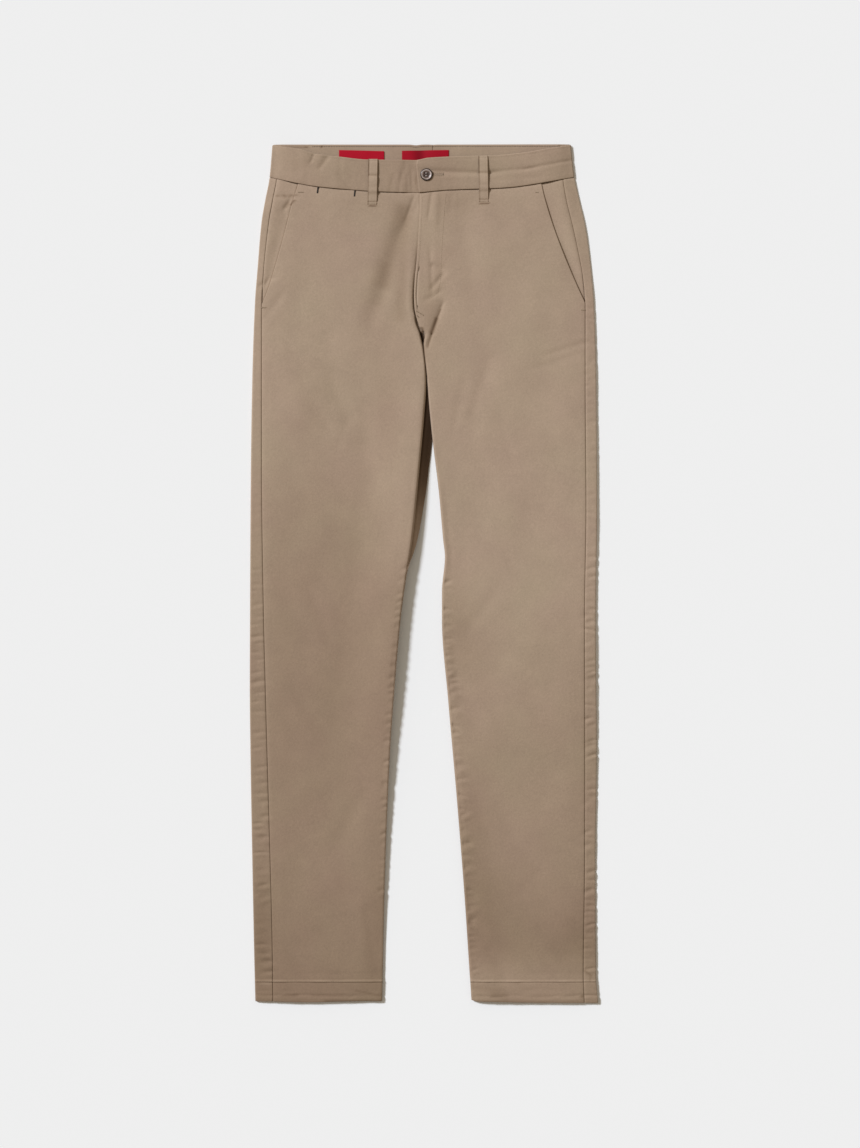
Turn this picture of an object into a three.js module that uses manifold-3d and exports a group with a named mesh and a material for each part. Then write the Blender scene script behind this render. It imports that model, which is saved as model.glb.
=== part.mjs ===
// Chino trousers laid flat on their back: four leg panels, a two-piece waistband, two pocket
// facings, five belt loops, a four-hole button and two plain labels.
// Millimetres. X runs across, the wearer's left leg at +X. Y runs from the hems to the waist.
// Z points up from the surface. The origin is the middle of the footprint, on the surface.
// "down" is the distance from the waist's highest edge towards the hems.
import * as THREE from "three";
import { mergeVertices } from "three/addons/utils/BufferGeometryUtils.js";
import Module from "manifold-3d";

const wasm = await Module();
wasm.setup();

// Driving sizes
const MIDDLE_DOWN = 537.8;
const CLOTH = 1.2;
const HEM_CLOTH = 1.8;
const BAND_CLOTH = 2.0;
const LOOP_CLOTH = 1.0;
const LABEL_CLOTH = 0.8;
const GAP = 0.3;
const PANEL_TOP = 5.2;
const BAND_TOP = 7.6;
const WAIST_RISE = LOOP_CLOTH + GAP;
const WAIST_DOWN = 41.4;
const HEM_DOWN = 1073;
const HEM_DEPTH = 25;
const HEM_STEP = 3;
const HEM_TOP = HEM_DOWN - HEM_DEPTH;
const CURL_ANGLE = THREE.MathUtils.degToRad(85);
const CURL_LENGTH = 3.4;

// Overlap at the fly
const UNDERLAP_X = 8;
const FLY_END = 208;
const FLY_DROP = 1.1;
const FLY_RAISE = 0.4;
const BAND_DROP = 1.9;

// Colours
const TWILL = new THREE.Color(0xa08d77);
const TWILL_SHADE = new THREE.Color(0x94826d);
const SATIN = new THREE.Color(0xa0192a);
const HORN = new THREE.Color(0x6b5a4c);

// Each leg: the outer fold, and the side seam that shows beside it
const RIGHT_SIDE = [
  { down: 0, fold: -189.8, seam: -181.0 },
  { down: 41, fold: -193.3, seam: -184.2 },
  { down: 70, fold: -198.8, seam: -189.4 },
  { down: 97, fold: -203.4, seam: -194.1 },
  { down: 156, fold: -208.5, seam: -200.5 },
  { down: 196, fold: -211.6, seam: -202.9 },
  { down: 295, fold: -215.0, seam: -203.1 },
  { down: 415, fold: -216.8, seam: -203.0 },
  { down: 595, fold: -217.8, seam: -200.5 },
  { down: 680, fold: -218.1, seam: -198.4 },
  { down: 756, fold: -217.3, seam: -196.3 },
  { down: 860, fold: -215.6, seam: -193.3 },
  { down: 1017, fold: -212.5, seam: -189.5 },
  { down: 1073, fold: -211.1, seam: -188.9 },
];
const LEFT_SIDE = [
  { down: 0, fold: 183.7, seam: 170.0 },
  { down: 41, fold: 188.2, seam: 173.8 },
  { down: 70, fold: 194.4, seam: 178.4 },
  { down: 96, fold: 200.6, seam: 184.6 },
  { down: 127, fold: 205.6, seam: 191.4 },
  { down: 166, fold: 210.0, seam: 198.6 },
  { down: 205, fold: 212.9, seam: 201.8 },
  { down: 295, fold: 215.5, seam: 201.8 },
  { down: 456, fold: 216.6, seam: 202.8 },
  { down: 595, fold: 215.0, seam: 200.9 },
  { down: 756, fold: 216.2, seam: 201.3 },
  { down: 895, fold: 214.6, seam: 201.1 },
  { down: 1039, fold: 215.4, seam: 199.4 },
  { down: 1073, fold: 218.1, seam: 200.6 },
];

// Each front's inner edge: the fly down to the crotch, then the inseam
const RIGHT_INNER = [
  { down: 208, x: UNDERLAP_X },
  { down: 219, x: -10.8 },
  { down: 239, x: -4.8 },
  { down: 251, x: -1.9 },
  { down: 283, x: 1.8 },
  { down: 299, x: 2.5 },
  { down: 345, x: 0 },
  { down: 395, x: -4.5 },
  { down: 495, x: -14.3 },
  { down: 545, x: -22.3 },
  { down: 595, x: -29 },
  { down: 695, x: -37.7 },
  { down: 770, x: -42.8 },
  { down: 920, x: -48.8 },
  { down: 1073, x: -52.1 },
];
const LEFT_INNER = [
  { down: 62, x: -4.9 },
  { down: 120, x: -7.0 },
  { down: 174, x: -10.6 },
  { down: 208, x: -11.4 },
  { down: 219, x: -5.6 },
  { down: 233, x: 2.2 },
  { down: 251, x: -0.2 },
  { down: 283, x: 3.1 },
  { down: 322, x: 5.8 },
  { down: 365, x: 10.0 },
  { down: 436, x: 18.5 },
  { down: 495, x: 23.8 },
  { down: 516, x: 26.0 },
  { down: 560, x: 22.3 },
  { down: 595, x: 22.3 },
  { down: 695, x: 30.0 },
  { down: 820, x: 41.0 },
  { down: 940, x: 50.4 },
  { down: 1073, x: 59.0 },
];

// The seat seam between the back panels
const SEAT_SEAM = [
  { down: 0, x: 11.0 },
  { down: 120, x: 9.0 },
  { down: 180, x: 6.0 },
  { down: 215, x: 2.5 },
  { down: 240, x: -0.7 },
];

// Rows bend to the dipped waist seam above this, and run level below it
const DIP_END = 170;

// The slanted pocket edge on each front
const RIGHT_POCKET = [
  { down: 41, x: -154.2 },
  { down: 75, x: -164.6 },
  { down: 134, x: -180.6 },
  { down: 185, x: -196.5 },
  { down: 199, x: -202.4 },
];
const LEFT_POCKET = [
  { down: 41, x: 145.0 },
  { down: 66, x: 150.3 },
  { down: 120, x: 167.9 },
  { down: 174, x: 190.1 },
  { down: 199, x: 201.7 },
];
const POCKET_END = 199;
const FACING_END = 192;
const FACING_UNDER = 12;
const FACING_DROP = 1.8;

// The front of the waist, from the right fold to the left fold
const WAIST_SEAM = [
  { x: -193.3, down: 41.4 },
  { x: -155.0, down: 50.3 },
  { x: -132.5, down: 54.0 },
  { x: -70.0, down: 59.1 },
  { x: -6.6, down: 62.2 },
  { x: 25.0, down: 58.6 },
  { x: 81.3, down: 56.4 },
  { x: 106.3, down: 55.0 },
  { x: 142.5, down: 50.0 },
  { x: 188.2, down: 41.4 },
];
const BAND_EDGE = [
  { x: -190.0, down: 1.7 },
  { x: -156.3, down: 6.6 },
  { x: -136.9, down: 12.5 },
  { x: -106.0, down: 16.3 },
  { x: -70.0, down: 19.9 },
  { x: -8.8, down: 20.3 },
  { x: 5.0, down: 17.8 },
  { x: 51.3, down: 15.6 },
  { x: 82.5, down: 14.9 },
  { x: 126.3, down: 10.9 },
  { x: 155.0, down: 5.9 },
  { x: 184.0, down: 1.0 },
];
const BAND_BACK_EDGE = 1.0;
const LEFT_BAND_END = [
  { down: 20, x: -8.4 },
  { down: 26, x: -9.5 },
  { down: 40, x: -8.4 },
  { down: 60, x: -6.1 },
];

// Soft folds in the fronts: troughs have a negative height
const FOLDS = [
  { name: "hip trough", x0: -13, down0: 66, x1: -58, down1: 200, width: 13, height: -1.2 },
  { name: "fly ridge", x0: -17, down0: 120, x1: -19, down1: 200, width: 8, height: 0.5 },
  { name: "crotch trough", x0: 21, down0: 205, x1: 6, down1: 245, width: 6, height: -1.3 },
  { name: "left hip trough", x0: 52, down0: 90, x1: 62, down1: 190, width: 18, height: -0.6 },
  { name: "right thigh", x0: -110, down0: 290, x1: -80, down1: 370, width: 16, height: -0.6 },
  { name: "right inner thigh", x0: -80, down0: 300, x1: -66, down1: 410, width: 14, height: -0.5 },
  { name: "left thigh", x0: 82, down0: 275, x1: 62, down1: 350, width: 14, height: -0.5 },
  { name: "left knee", x0: 30, down0: 640, x1: 60, down1: 720, width: 16, height: -0.5 },
];
const BAND_FOLDS = [
  { name: "near right side", x0: -137, down0: 12, x1: -144, down1: 30, width: 8, height: -0.5 },
  { name: "near right loop", x0: -118, down0: 16, x1: -128, down1: 32, width: 8, height: -0.4 },
  { name: "beside button", x0: 14, down0: 35, x1: 80, down1: 36, width: 9, height: -0.5 },
];

// Folds in the fronts die out this near the inseam
const FOLD_MARGIN = 16;

// How far the right leg's inner edge stands off the surface
const RIGHT_LIFT = [
  { down: 270, lift: 0 },
  { down: 380, lift: 7.5 },
  { down: 450, lift: 9.5 },
  { down: 640, lift: 9.5 },
  { down: 770, lift: 5.5 },
  { down: 870, lift: 2 },
  { down: 1000, lift: 0 },
];
const LIFT_REACH = 75;

// How far the right back shows past the front's inseam, sloping down to the surface
const BACK_SHOW = [
  { down: 283, reach: 0 },
  { down: 300, reach: 0.7 },
  { down: 320, reach: 3.4 },
  { down: 345, reach: 7 },
  { down: 370, reach: 11.4 },
  { down: 395, reach: 11.4 },
  { down: 420, reach: 11.2 },
  { down: 457, reach: 9 },
  { down: 490, reach: 6.5 },
  { down: 535, reach: 0 },
];
const SHOW_SLOPE = 13;

// Rows of the leg panels, from the waist seam to the hem
const PANEL_ROWS = [
  { to: FLY_END, steps: 7 },
  { to: 300, steps: 8 },
  { to: 600, steps: 10 },
  { to: HEM_TOP - HEM_STEP, steps: 9 },
  { to: HEM_TOP, steps: 1 },
  { to: HEM_DOWN, steps: 1 },
];
const FRONT_COLUMNS = 10;
const BACK_COLUMNS = 9;
const STRIP_COLUMNS = 2;
const FOLD_STEPS = 6;
const CURL_STEPS = 3;

// Belt loops: middle of each, and where it starts and ends
const LOOP_WIDTH = 12;
const FRONT_LOOPS = [
  { name: "belt_loop_front_right", x: -63.5, from: 19.5, to: 76.8 },
  { name: "belt_loop_front_left", x: 73.8, from: 15.6, to: 73.8 },
];
const BACK_LOOPS = [
  { name: "belt_loop_back_right", x: -128 },
  { name: "belt_loop_back_centre", x: 11 },
  { name: "belt_loop_back_left", x: 164 },
];
const BACK_LOOP_FROM = 1.5;
const BACK_LOOP_TO = 58;

// Labels inside the back of the waistband
const LABELS = [
  { name: "label_small", x0: -106.4, x1: -49.8, from: 8.2, to: 27 },
  { name: "label_wide", x0: -27.6, x1: 31, from: 7.9, to: 27 },
];

const BUTTON = { x: 3.1, down: 39.1, radius: 7.75, height: 2.9, hole: 0.9, holeReach: 1.75 };

const mix = THREE.MathUtils.lerp;
const smooth = (from, to, at) => THREE.MathUtils.smoothstep(at, from, to);

// Value of one column of a table, on a smooth curve that never overshoots its rows
function along(table, from, to, at) {
  const last = table.length - 1;
  if (at <= table[0][from]) return table[0][to];
  if (at >= table[last][from]) return table[last][to];
  const slope = (k) => (table[k + 1][to] - table[k][to]) / (table[k + 1][from] - table[k][from]);
  const tangent = (k) => {
    if (k === 0) return slope(0);
    if (k === last) return slope(last - 1);
    const before = slope(k - 1);
    const after = slope(k);
    return before * after > 0 ? (2 * before * after) / (before + after) : 0;
  };
  let row = 0;
  while (at > table[row + 1][from]) row += 1;
  const length = table[row + 1][from] - table[row][from];
  const t = (at - table[row][from]) / length;
  const start = table[row][to];
  const end = table[row + 1][to];
  const bend = length * (t * (1 - t) * (1 - t) * tangent(row) - t * t * (1 - t) * tangent(row + 1));
  return start + (end - start) * t * t * (3 - 2 * t) + bend;
}

// Sum of soft folds at a point, each fading across its width and past its ends
function foldHeight(folds, x, down) {
  let height = 0;
  for (const fold of folds) {
    const runX = fold.x1 - fold.x0;
    const runDown = fold.down1 - fold.down0;
    const length = Math.hypot(runX, runDown);
    const lengthwise = ((x - fold.x0) * runX + (down - fold.down0) * runDown) / length;
    const sideways = ((x - fold.x0) * runDown - (down - fold.down0) * runX) / length;
    const past = Math.max(0, -lengthwise, lengthwise - length);
    const fade = Math.exp(-((past / (0.25 * length)) ** 2));
    height += fold.height * fade * Math.exp(-((sideways / fold.width) ** 2));
  }
  return height;
}

// A leg: side is -1 for the wearer's right, 1 for the left
const RIGHT = {
  side: -1,
  edges: RIGHT_SIDE,
  inner: RIGHT_INNER,
  pocket: RIGHT_POCKET,
  lift: RIGHT_LIFT,
};
const LEFT = {
  side: 1,
  edges: LEFT_SIDE,
  inner: LEFT_INNER,
  pocket: LEFT_POCKET,
  lift: null,
};

const foldX = (leg, down) => along(leg.edges, "down", "fold", down);
const seamX = (leg, down) => along(leg.edges, "down", "seam", down);
const innerX = (leg, down) => along(leg.inner, "down", "x", down);
const clothAt = (row) => mix(CLOTH, HEM_CLOTH, smooth(HEM_TOP - HEM_STEP, HEM_TOP, row));
const waistRise = (down) => WAIST_RISE * (1 - smooth(60, 110, down));

function liftAt(leg, x, down) {
  if (leg.lift === null) return 0;
  const inside = innerX(leg, Math.max(down, 240)) - x;
  const share = inside < 0 ? smooth(0, SHOW_SLOPE, -inside) : smooth(0, LIFT_REACH, inside);
  return along(leg.lift, "down", "lift", down) * (1 - share);
}

// Middle of the upper wall, and of the wall on the surface
function topAt(leg, x, down, cloth) {
  const fromInseam = Math.abs(innerX(leg, Math.max(down, 240)) - x);
  const calm = smooth(225, 245, down) * (1 - smooth(4, FOLD_MARGIN, fromInseam));
  const height = PANEL_TOP + (cloth - CLOTH) / 2 + foldHeight(FOLDS, x, down) * (1 - calm);
  return height + waistRise(down) + liftAt(leg, x, down);
}
function floorAt(leg, x, down, cloth) {
  return cloth / 2 + waistRise(down) + liftAt(leg, x, down);
}

// Rows follow the curved waist seam on the front and level out below it
function frontDown(x, row) {
  const dip = along(WAIST_SEAM, "x", "down", x) - WAIST_DOWN;
  return row + GAP / 2 + dip * (1 - smooth(WAIST_DOWN, DIP_END, row)) + hemDrop(x, row);
}
function backDown(x, row) {
  return row + GAP / 2 + hemDrop(x, row);
}
// The left hem runs a little lower towards its outer side
function hemDrop(x, row) {
  const drop = x > 0 ? mix(-0.6, 1.4, (x - 59) / 159) : -0.5;
  return drop * smooth(HEM_TOP - 68, HEM_DOWN, row);
}

function rowsBetween(start, stretches) {
  const rows = [start];
  let from = start;
  for (const { to, steps } of stretches) {
    for (let k = 1; k <= steps; k += 1) rows.push(mix(from, to, k / steps));
    from = to;
  }
  return rows;
}

// One station of a section: middle of the wall, its outward direction and its thickness
function station(x, down, z, nx, nz, cloth) {
  return { x, y: MIDDLE_DOWN - down, z, nx, nz, cloth };
}

// Closed wall through a grid of stations, half its thickness to each side
function wallGeometry(grid) {
  const rows = grid.length;
  const columns = grid[0].length;
  const positions = [];
  for (const face of [0.5, -0.5]) {
    for (const row of grid) {
      for (const s of row) {
        positions.push(s.x + s.nx * s.cloth * face, s.y, s.z + s.nz * s.cloth * face);
      }
    }
  }
  const last = columns - 1;
  const outer = (r, c) => r * columns + c;
  const inner = (r, c) => rows * columns + r * columns + c;
  const triangles = [];
  const quad = (a, b, c, d) => triangles.push(a, b, c, a, c, d);
  for (let r = 0; r < rows - 1; r += 1) {
    for (let c = 0; c < columns - 1; c += 1) {
      quad(outer(r, c), outer(r, c + 1), outer(r + 1, c + 1), outer(r + 1, c));
      quad(inner(r, c), inner(r + 1, c), inner(r + 1, c + 1), inner(r, c + 1));
    }
  }
  for (let c = 0; c < columns - 1; c += 1) {
    quad(outer(0, c), inner(0, c), inner(0, c + 1), outer(0, c + 1));
    quad(outer(rows - 1, c + 1), inner(rows - 1, c + 1), inner(rows - 1, c), outer(rows - 1, c));
  }
  for (let r = 0; r < rows - 1; r += 1) {
    quad(outer(r + 1, 0), inner(r + 1, 0), inner(r, 0), outer(r, 0));
    quad(outer(r, last), inner(r, last), inner(r + 1, last), outer(r + 1, last));
  }
  if (signedVolume(positions, triangles) < 0) triangles.reverse();
  const geometry = new THREE.BufferGeometry();
  geometry.setAttribute("position", new THREE.Float32BufferAttribute(positions, 3));
  geometry.setIndex(triangles);
  geometry.computeVertexNormals();
  return geometry;
}

function signedVolume(positions, triangles) {
  const corner = (k) => new THREE.Vector3().fromArray(positions, 3 * triangles[k]);
  let volume = 0;
  for (let k = 0; k < triangles.length; k += 3) {
    volume += corner(k).dot(corner(k + 1).cross(corner(k + 2))) / 6;
  }
  return volume;
}

function clothMaterial(color) {
  return new THREE.MeshStandardMaterial({ color, roughness: 0.9, metalness: 0 });
}

function makeMesh(name, geometry, material) {
  const mesh = new THREE.Mesh(geometry, material);
  mesh.name = name;
  return mesh;
}

// Where a panel stops being flat and starts to curl down, or up, to the inseam
function curlAt(leg, edgeX, row, length, strength = 1) {
  const inward = -leg.side;
  const angle = CURL_ANGLE * smooth(226, 262, row) * strength;
  const radius = angle > 0.01 ? length / angle : 0;
  const extent = angle > 0.01 ? (radius + clothAt(row) / 2) * Math.sin(angle) : length;
  return { inward, angle, radius, length, kneeX: edgeX - inward * extent };
}

// Offsets of one step round the curl from the knee
function curlStep(curl, step) {
  const share = step / CURL_STEPS;
  const turn = curl.angle * share;
  if (curl.radius === 0) return { x: curl.inward * curl.length * share, z: 0, turn };
  return { x: curl.inward * curl.radius * Math.sin(turn), z: curl.radius * (1 - Math.cos(turn)), turn };
}

// Front panel: from the pocket edge or side seam across to the fly, then the inseam
function frontOuterX(leg, row) {
  const seam = seamX(leg, row) - leg.side * (GAP / 2);
  if (row >= POCKET_END) return seam;
  const first = along(leg.pocket, "down", "x", row);
  const slant = along(leg.pocket, "down", "x", frontDown(first, row));
  return leg.side > 0 ? Math.min(slant, seam) : Math.max(slant, seam);
}

// Height of a front beside the fly: the left front rides over the right one
function flyOffset(leg, x, row) {
  const shown = 1 - smooth(228, 254, row);
  if (leg.side > 0) return FLY_RAISE * shown * (1 - smooth(12, 22, x));
  return 0;
}

function frontSection(leg, row) {
  const edge = innerX(leg, row);
  const flyEdge = innerX(LEFT, row);
  const lapLength = UNDERLAP_X - (flyEdge - 7);
  const isLap = leg.side < 0 && row <= FLY_END + 0.01;
  const curl = curlAt(leg, edge, row, isLap ? lapLength : CURL_LENGTH);
  const drop = leg.side < 0 ? FLY_DROP * (1 - smooth(232, 256, row)) : 0;
  const outer = frontOuterX(leg, row);
  const cloth = clothAt(row);
  const section = [];
  for (let c = 0; c <= FRONT_COLUMNS; c += 1) {
    const x = mix(outer, curl.kneeX, c / FRONT_COLUMNS);
    const down = frontDown(x, row);
    const z = topAt(leg, x, down, cloth) + flyOffset(leg, x, row);
    section.push(station(x, down, z, 0, 1, cloth));
  }
  for (let step = 1; step <= CURL_STEPS; step += 1) {
    const part = curlStep(curl, step);
    const x = curl.kneeX + part.x;
    const down = frontDown(x, row);
    const z = topAt(leg, x, down, cloth) + flyOffset(leg, x, row) - drop - part.z;
    section.push(station(x, down, z, curl.inward * Math.sin(part.turn), Math.cos(part.turn), cloth));
  }
  return section;
}

// Back panel: from the side seam round the outer fold, along the surface, to the seat or inseam
function backEdgeX(leg, row) {
  const seat = along(SEAT_SEAM, "down", "x", row) + leg.side * (GAP / 2);
  return mix(seat, innerX(leg, Math.max(row, 251)), smooth(235, 262, row));
}

function backSection(leg, row) {
  const cloth = clothAt(row);
  const fold = foldX(leg, row);
  const turnX = fold - leg.side * ((PANEL_TOP - CLOTH / 2) / 2 + cloth / 2);
  const top = topAt(leg, turnX, frontDown(turnX, row), cloth);
  const floor = floorAt(leg, turnX, backDown(turnX, row), cloth);
  const radius = (top - floor) / 2;
  const seam = seamX(leg, row) + leg.side * (GAP / 2);
  const section = [];
  for (let c = 0; c < STRIP_COLUMNS; c += 1) {
    const x = mix(seam, turnX, c / STRIP_COLUMNS);
    const down = frontDown(x, row);
    section.push(station(x, down, topAt(leg, x, down, cloth), 0, 1, cloth));
  }
  for (let step = 0; step <= FOLD_STEPS; step += 1) {
    const turn = (Math.PI * step) / FOLD_STEPS;
    const x = turnX + leg.side * radius * Math.sin(turn);
    const z = mix(floor, top, 0.5 + 0.5 * Math.cos(turn));
    const down = mix(frontDown(x, row), backDown(x, row), step / FOLD_STEPS);
    section.push(station(x, down, z, leg.side * Math.sin(turn), Math.cos(turn), cloth));
  }
  const reach = leg.side < 0 ? along(BACK_SHOW, "down", "reach", row) : 0;
  const edge = backEdgeX(leg, row) - leg.side * reach;
  const curl = curlAt(leg, edge, row, CURL_LENGTH + reach, 1 - smooth(0, 4, reach));
  for (let c = 1; c <= BACK_COLUMNS; c += 1) {
    const x = mix(turnX, curl.kneeX, c / BACK_COLUMNS);
    const down = backDown(x, row);
    section.push(station(x, down, floorAt(leg, x, down, cloth), 0, -1, cloth));
  }
  for (let step = 1; step <= CURL_STEPS; step += 1) {
    const part = curlStep(curl, step);
    const x = curl.kneeX + part.x;
    const down = backDown(x, row);
    const z = floorAt(leg, x, down, cloth) + part.z;
    const slope = floorAt(leg, x + 0.5, down, cloth) - floorAt(leg, x - 0.5, down, cloth);
    const turn = part.turn + curl.inward * Math.atan(slope);
    section.push(station(x, down, z, curl.inward * Math.sin(turn), -Math.cos(turn), cloth));
  }
  return section;
}

function legPanels(leg, word) {
  const rows = rowsBetween(WAIST_DOWN, PANEL_ROWS);
  const front = wallGeometry(rows.map((row) => frontSection(leg, row)));
  const back = wallGeometry(rows.map((row) => backSection(leg, row)));
  return [
    makeMesh(`front_${word}`, front, clothMaterial(TWILL)),
    makeMesh(`back_${word}`, back, clothMaterial(TWILL_SHADE)),
  ];
}

// Pocket facing: level with the back at the side seam, tucked under the front's slanted edge
function pocketFacing(leg, word) {
  const rows = rowsBetween(WAIST_DOWN, PANEL_ROWS).filter((row) => row < FACING_END);
  rows.push(FACING_END);
  const grid = rows.map((row) => {
    const seam = seamX(leg, row) - leg.side * (GAP / 2);
    const slant = frontOuterX(leg, row);
    const shown = Math.abs(seam - slant);
    const tucked = slant - leg.side * FACING_UNDER;
    return [seam, mix(seam, slant, 0.5), slant, tucked].map((x) => {
      const down = frontDown(x, row);
      const share = Math.abs(x - slant) / Math.max(shown, 20);
      const raised = x === tucked ? 0 : FACING_DROP * smooth(0.1, 0.9, share);
      return station(x, down, topAt(leg, x, down, CLOTH) - FACING_DROP + raised, 0, 1, CLOTH);
    });
  });
  return makeMesh(`pocket_facing_${word}`, wallGeometry(grid), clothMaterial(TWILL_SHADE));
}

// Waistband half: front end, round the side fold, along the back to the seat seam
const BAND_HEIGHT_STEPS = 3;
const BAND_FRONT = {
  right: [{ to: -10.5, steps: 2 }, { to: -15, steps: 1 }, { to: -40, steps: 3 }, { to: null, steps: 18 }],
  left: [{ to: 12, steps: 2 }, { to: 24, steps: 1 }, { to: null, steps: 20 }],
};
const BAND_BACK_STEPS = 9;

function bandTopAt(leg, x, down) {
  const base = BAND_TOP + foldHeight(BAND_FOLDS, x, down);
  if (leg.side > 0) return base + FLY_RAISE * (1 - smooth(12, 24, x));
  return base - BAND_DROP * smooth(-15, -10.5, x);
}

function bandSection(leg, word, share) {
  const middle = mix(BAND_BACK_EDGE, WAIST_DOWN, share);
  const end = leg.side > 0 ? along(LEFT_BAND_END, "down", "x", mix(20, 60, share)) : UNDERLAP_X;
  const floor = BAND_CLOTH / 2 + WAIST_RISE;
  const radius = (BAND_TOP - floor) / 2;
  const turnX = foldX(leg, middle) - leg.side * (radius + BAND_CLOTH / 2);
  const frontAt = (x) => {
    const edge = along(BAND_EDGE, "x", "down", x);
    const seam = along(WAIST_SEAM, "x", "down", x) - GAP / 2;
    return mix(edge, seam, share);
  };
  const backAt = mix(BAND_BACK_EDGE, WAIST_DOWN - GAP / 2, share);
  const stretches = BAND_FRONT[word].map(({ to, steps }) => ({ to: to === null ? turnX : to, steps }));
  const section = rowsBetween(end, stretches).map((x) => {
    const down = frontAt(x);
    return station(x, down, bandTopAt(leg, x, down), 0, 1, BAND_CLOTH);
  });
  const start = section[section.length - 1].z;
  for (let step = 1; step <= FOLD_STEPS; step += 1) {
    const turn = (Math.PI * step) / FOLD_STEPS;
    const x = turnX + leg.side * radius * Math.sin(turn);
    const z = mix(floor, start, 0.5 + 0.5 * Math.cos(turn));
    const down = mix(frontAt(x), backAt, step / FOLD_STEPS);
    section.push(station(x, down, z, leg.side * Math.sin(turn), Math.cos(turn), BAND_CLOTH));
  }
  const seat = along(SEAT_SEAM, "down", "x", middle) + leg.side * (GAP / 2);
  for (let c = 1; c <= BAND_BACK_STEPS; c += 1) {
    section.push(station(mix(turnX, seat, c / BAND_BACK_STEPS), backAt, floor, 0, -1, BAND_CLOTH));
  }
  return section;
}

function waistbandHalf(leg, word) {
  const grid = [];
  for (let k = 0; k <= BAND_HEIGHT_STEPS; k += 1) {
    grid.push(bandSection(leg, word, k / BAND_HEIGHT_STEPS));
  }
  return makeMesh(`waistband_${word}`, wallGeometry(grid), clothMaterial(TWILL));
}

// Front belt loop: over the band, then down onto the front panel
function frontLoop({ name, x, from, to }) {
  const leg = x > 0 ? LEFT : RIGHT;
  const seam = along(WAIST_SEAM, "x", "down", x);
  const clear = GAP + LOOP_CLOTH / 2;
  const downs = [from, mix(from, seam, 0.25), mix(from, seam, 0.5), mix(from, seam, 0.75), seam + 0.6];
  downs.push(seam + 4.5, mix(seam + 4.5, to, 0.5), to);
  const grid = downs.map((down) =>
    [-0.5, 0, 0.5].map((side) => {
      const at = x + side * LOOP_WIDTH;
      const band = bandTopAt(leg, at, Math.min(down, seam)) + BAND_CLOTH / 2;
      const panel = topAt(leg, at, down, CLOTH) + CLOTH / 2;
      const slack = 0.7 * Math.sin((Math.PI * (down - from)) / (to - from));
      const under = down < seam + 1 ? band : panel;
      return station(at, down, under + clear + slack, 0, 1, LOOP_CLOTH);
    }),
  );
  return makeMesh(name, wallGeometry(grid), clothMaterial(TWILL));
}

// Back belt loop: flat on the surface, under the back of the waistband
function backLoop({ name, x }) {
  const grid = [BACK_LOOP_FROM, BACK_LOOP_TO].map((down) =>
    [-0.5, 0.5].map((side) => station(x + side * LOOP_WIDTH, down, LOOP_CLOTH / 2, 0, -1, LOOP_CLOTH)),
  );
  return makeMesh(name, wallGeometry(grid), clothMaterial(TWILL));
}

// Label: a plain satin patch on the inside of the back waistband
function label({ name, x0, x1, from, to }) {
  const z = WAIST_RISE + BAND_CLOTH + GAP + LABEL_CLOTH / 2;
  const grid = [from, to].map((down) =>
    [0, 0.5, 1].map((share) => station(mix(x0, x1, share), down, z, 0, 1, LABEL_CLOTH)),
  );
  const material = new THREE.MeshStandardMaterial({ color: SATIN, roughness: 0.45, metalness: 0 });
  return makeMesh(name, wallGeometry(grid), material);
}

function toSolid(geometry) {
  const bare = geometry.clone();
  bare.deleteAttribute("normal");
  bare.deleteAttribute("uv");
  const merged = mergeVertices(bare);
  const triVerts = new Uint32Array(merged.index.array);
  const vertProperties = new Float32Array(merged.attributes.position.array);
  return new wasm.Manifold(new wasm.Mesh({ numProp: 3, vertProperties, triVerts }));
}

function fromSolid(solid) {
  const mesh = solid.getMesh();
  const geometry = new THREE.BufferGeometry();
  geometry.setAttribute("position", new THREE.Float32BufferAttribute(mesh.vertProperties, 3));
  geometry.setIndex([...mesh.triVerts]);
  geometry.computeVertexNormals();
  return geometry;
}

// Four-hole button: a dished disc with a rounded rim
function button() {
  const { radius, height, hole, holeReach } = BUTTON;
  const profile = [
    new THREE.Vector2(0, 0),
    new THREE.Vector2(radius - 0.9, 0),
    new THREE.Vector2(radius, 0.8),
    new THREE.Vector2(radius, 1.8),
    new THREE.Vector2(radius - 0.6, height - 0.2),
    new THREE.Vector2(radius - 1.5, height),
    new THREE.Vector2(radius - 2.6, height - 0.8),
    new THREE.Vector2(0, height - 1.0),
  ];
  let solid = toSolid(new THREE.LatheGeometry(profile, 28));
  for (const [sideX, sideZ] of [[1, 1], [1, -1], [-1, 1], [-1, -1]]) {
    const drill = new THREE.CylinderGeometry(hole, hole, 4 * height, 10);
    drill.translate(sideX * holeReach, 0, sideZ * holeReach);
    solid = solid.subtract(toSolid(drill));
  }
  const geometry = fromSolid(solid);
  geometry.rotateX(Math.PI / 2);
  const material = new THREE.MeshStandardMaterial({ color: HORN, roughness: 0.35, metalness: 0 });
  const mesh = makeMesh("button", geometry, material);
  const bandFace = bandTopAt(LEFT, BUTTON.x, BUTTON.down) + BAND_CLOTH / 2;
  mesh.position.set(BUTTON.x, MIDDLE_DOWN - BUTTON.down, bandFace + GAP);
  return mesh;
}

const trousers = new THREE.Group();
for (const [leg, word] of [[RIGHT, "right"], [LEFT, "left"]]) {
  trousers.add(...legPanels(leg, word), pocketFacing(leg, word), waistbandHalf(leg, word));
}
trousers.add(...FRONT_LOOPS.map(frontLoop), ...BACK_LOOPS.map(backLoop), ...LABELS.map(label), button());

export default trousers;
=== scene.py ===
import math

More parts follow.
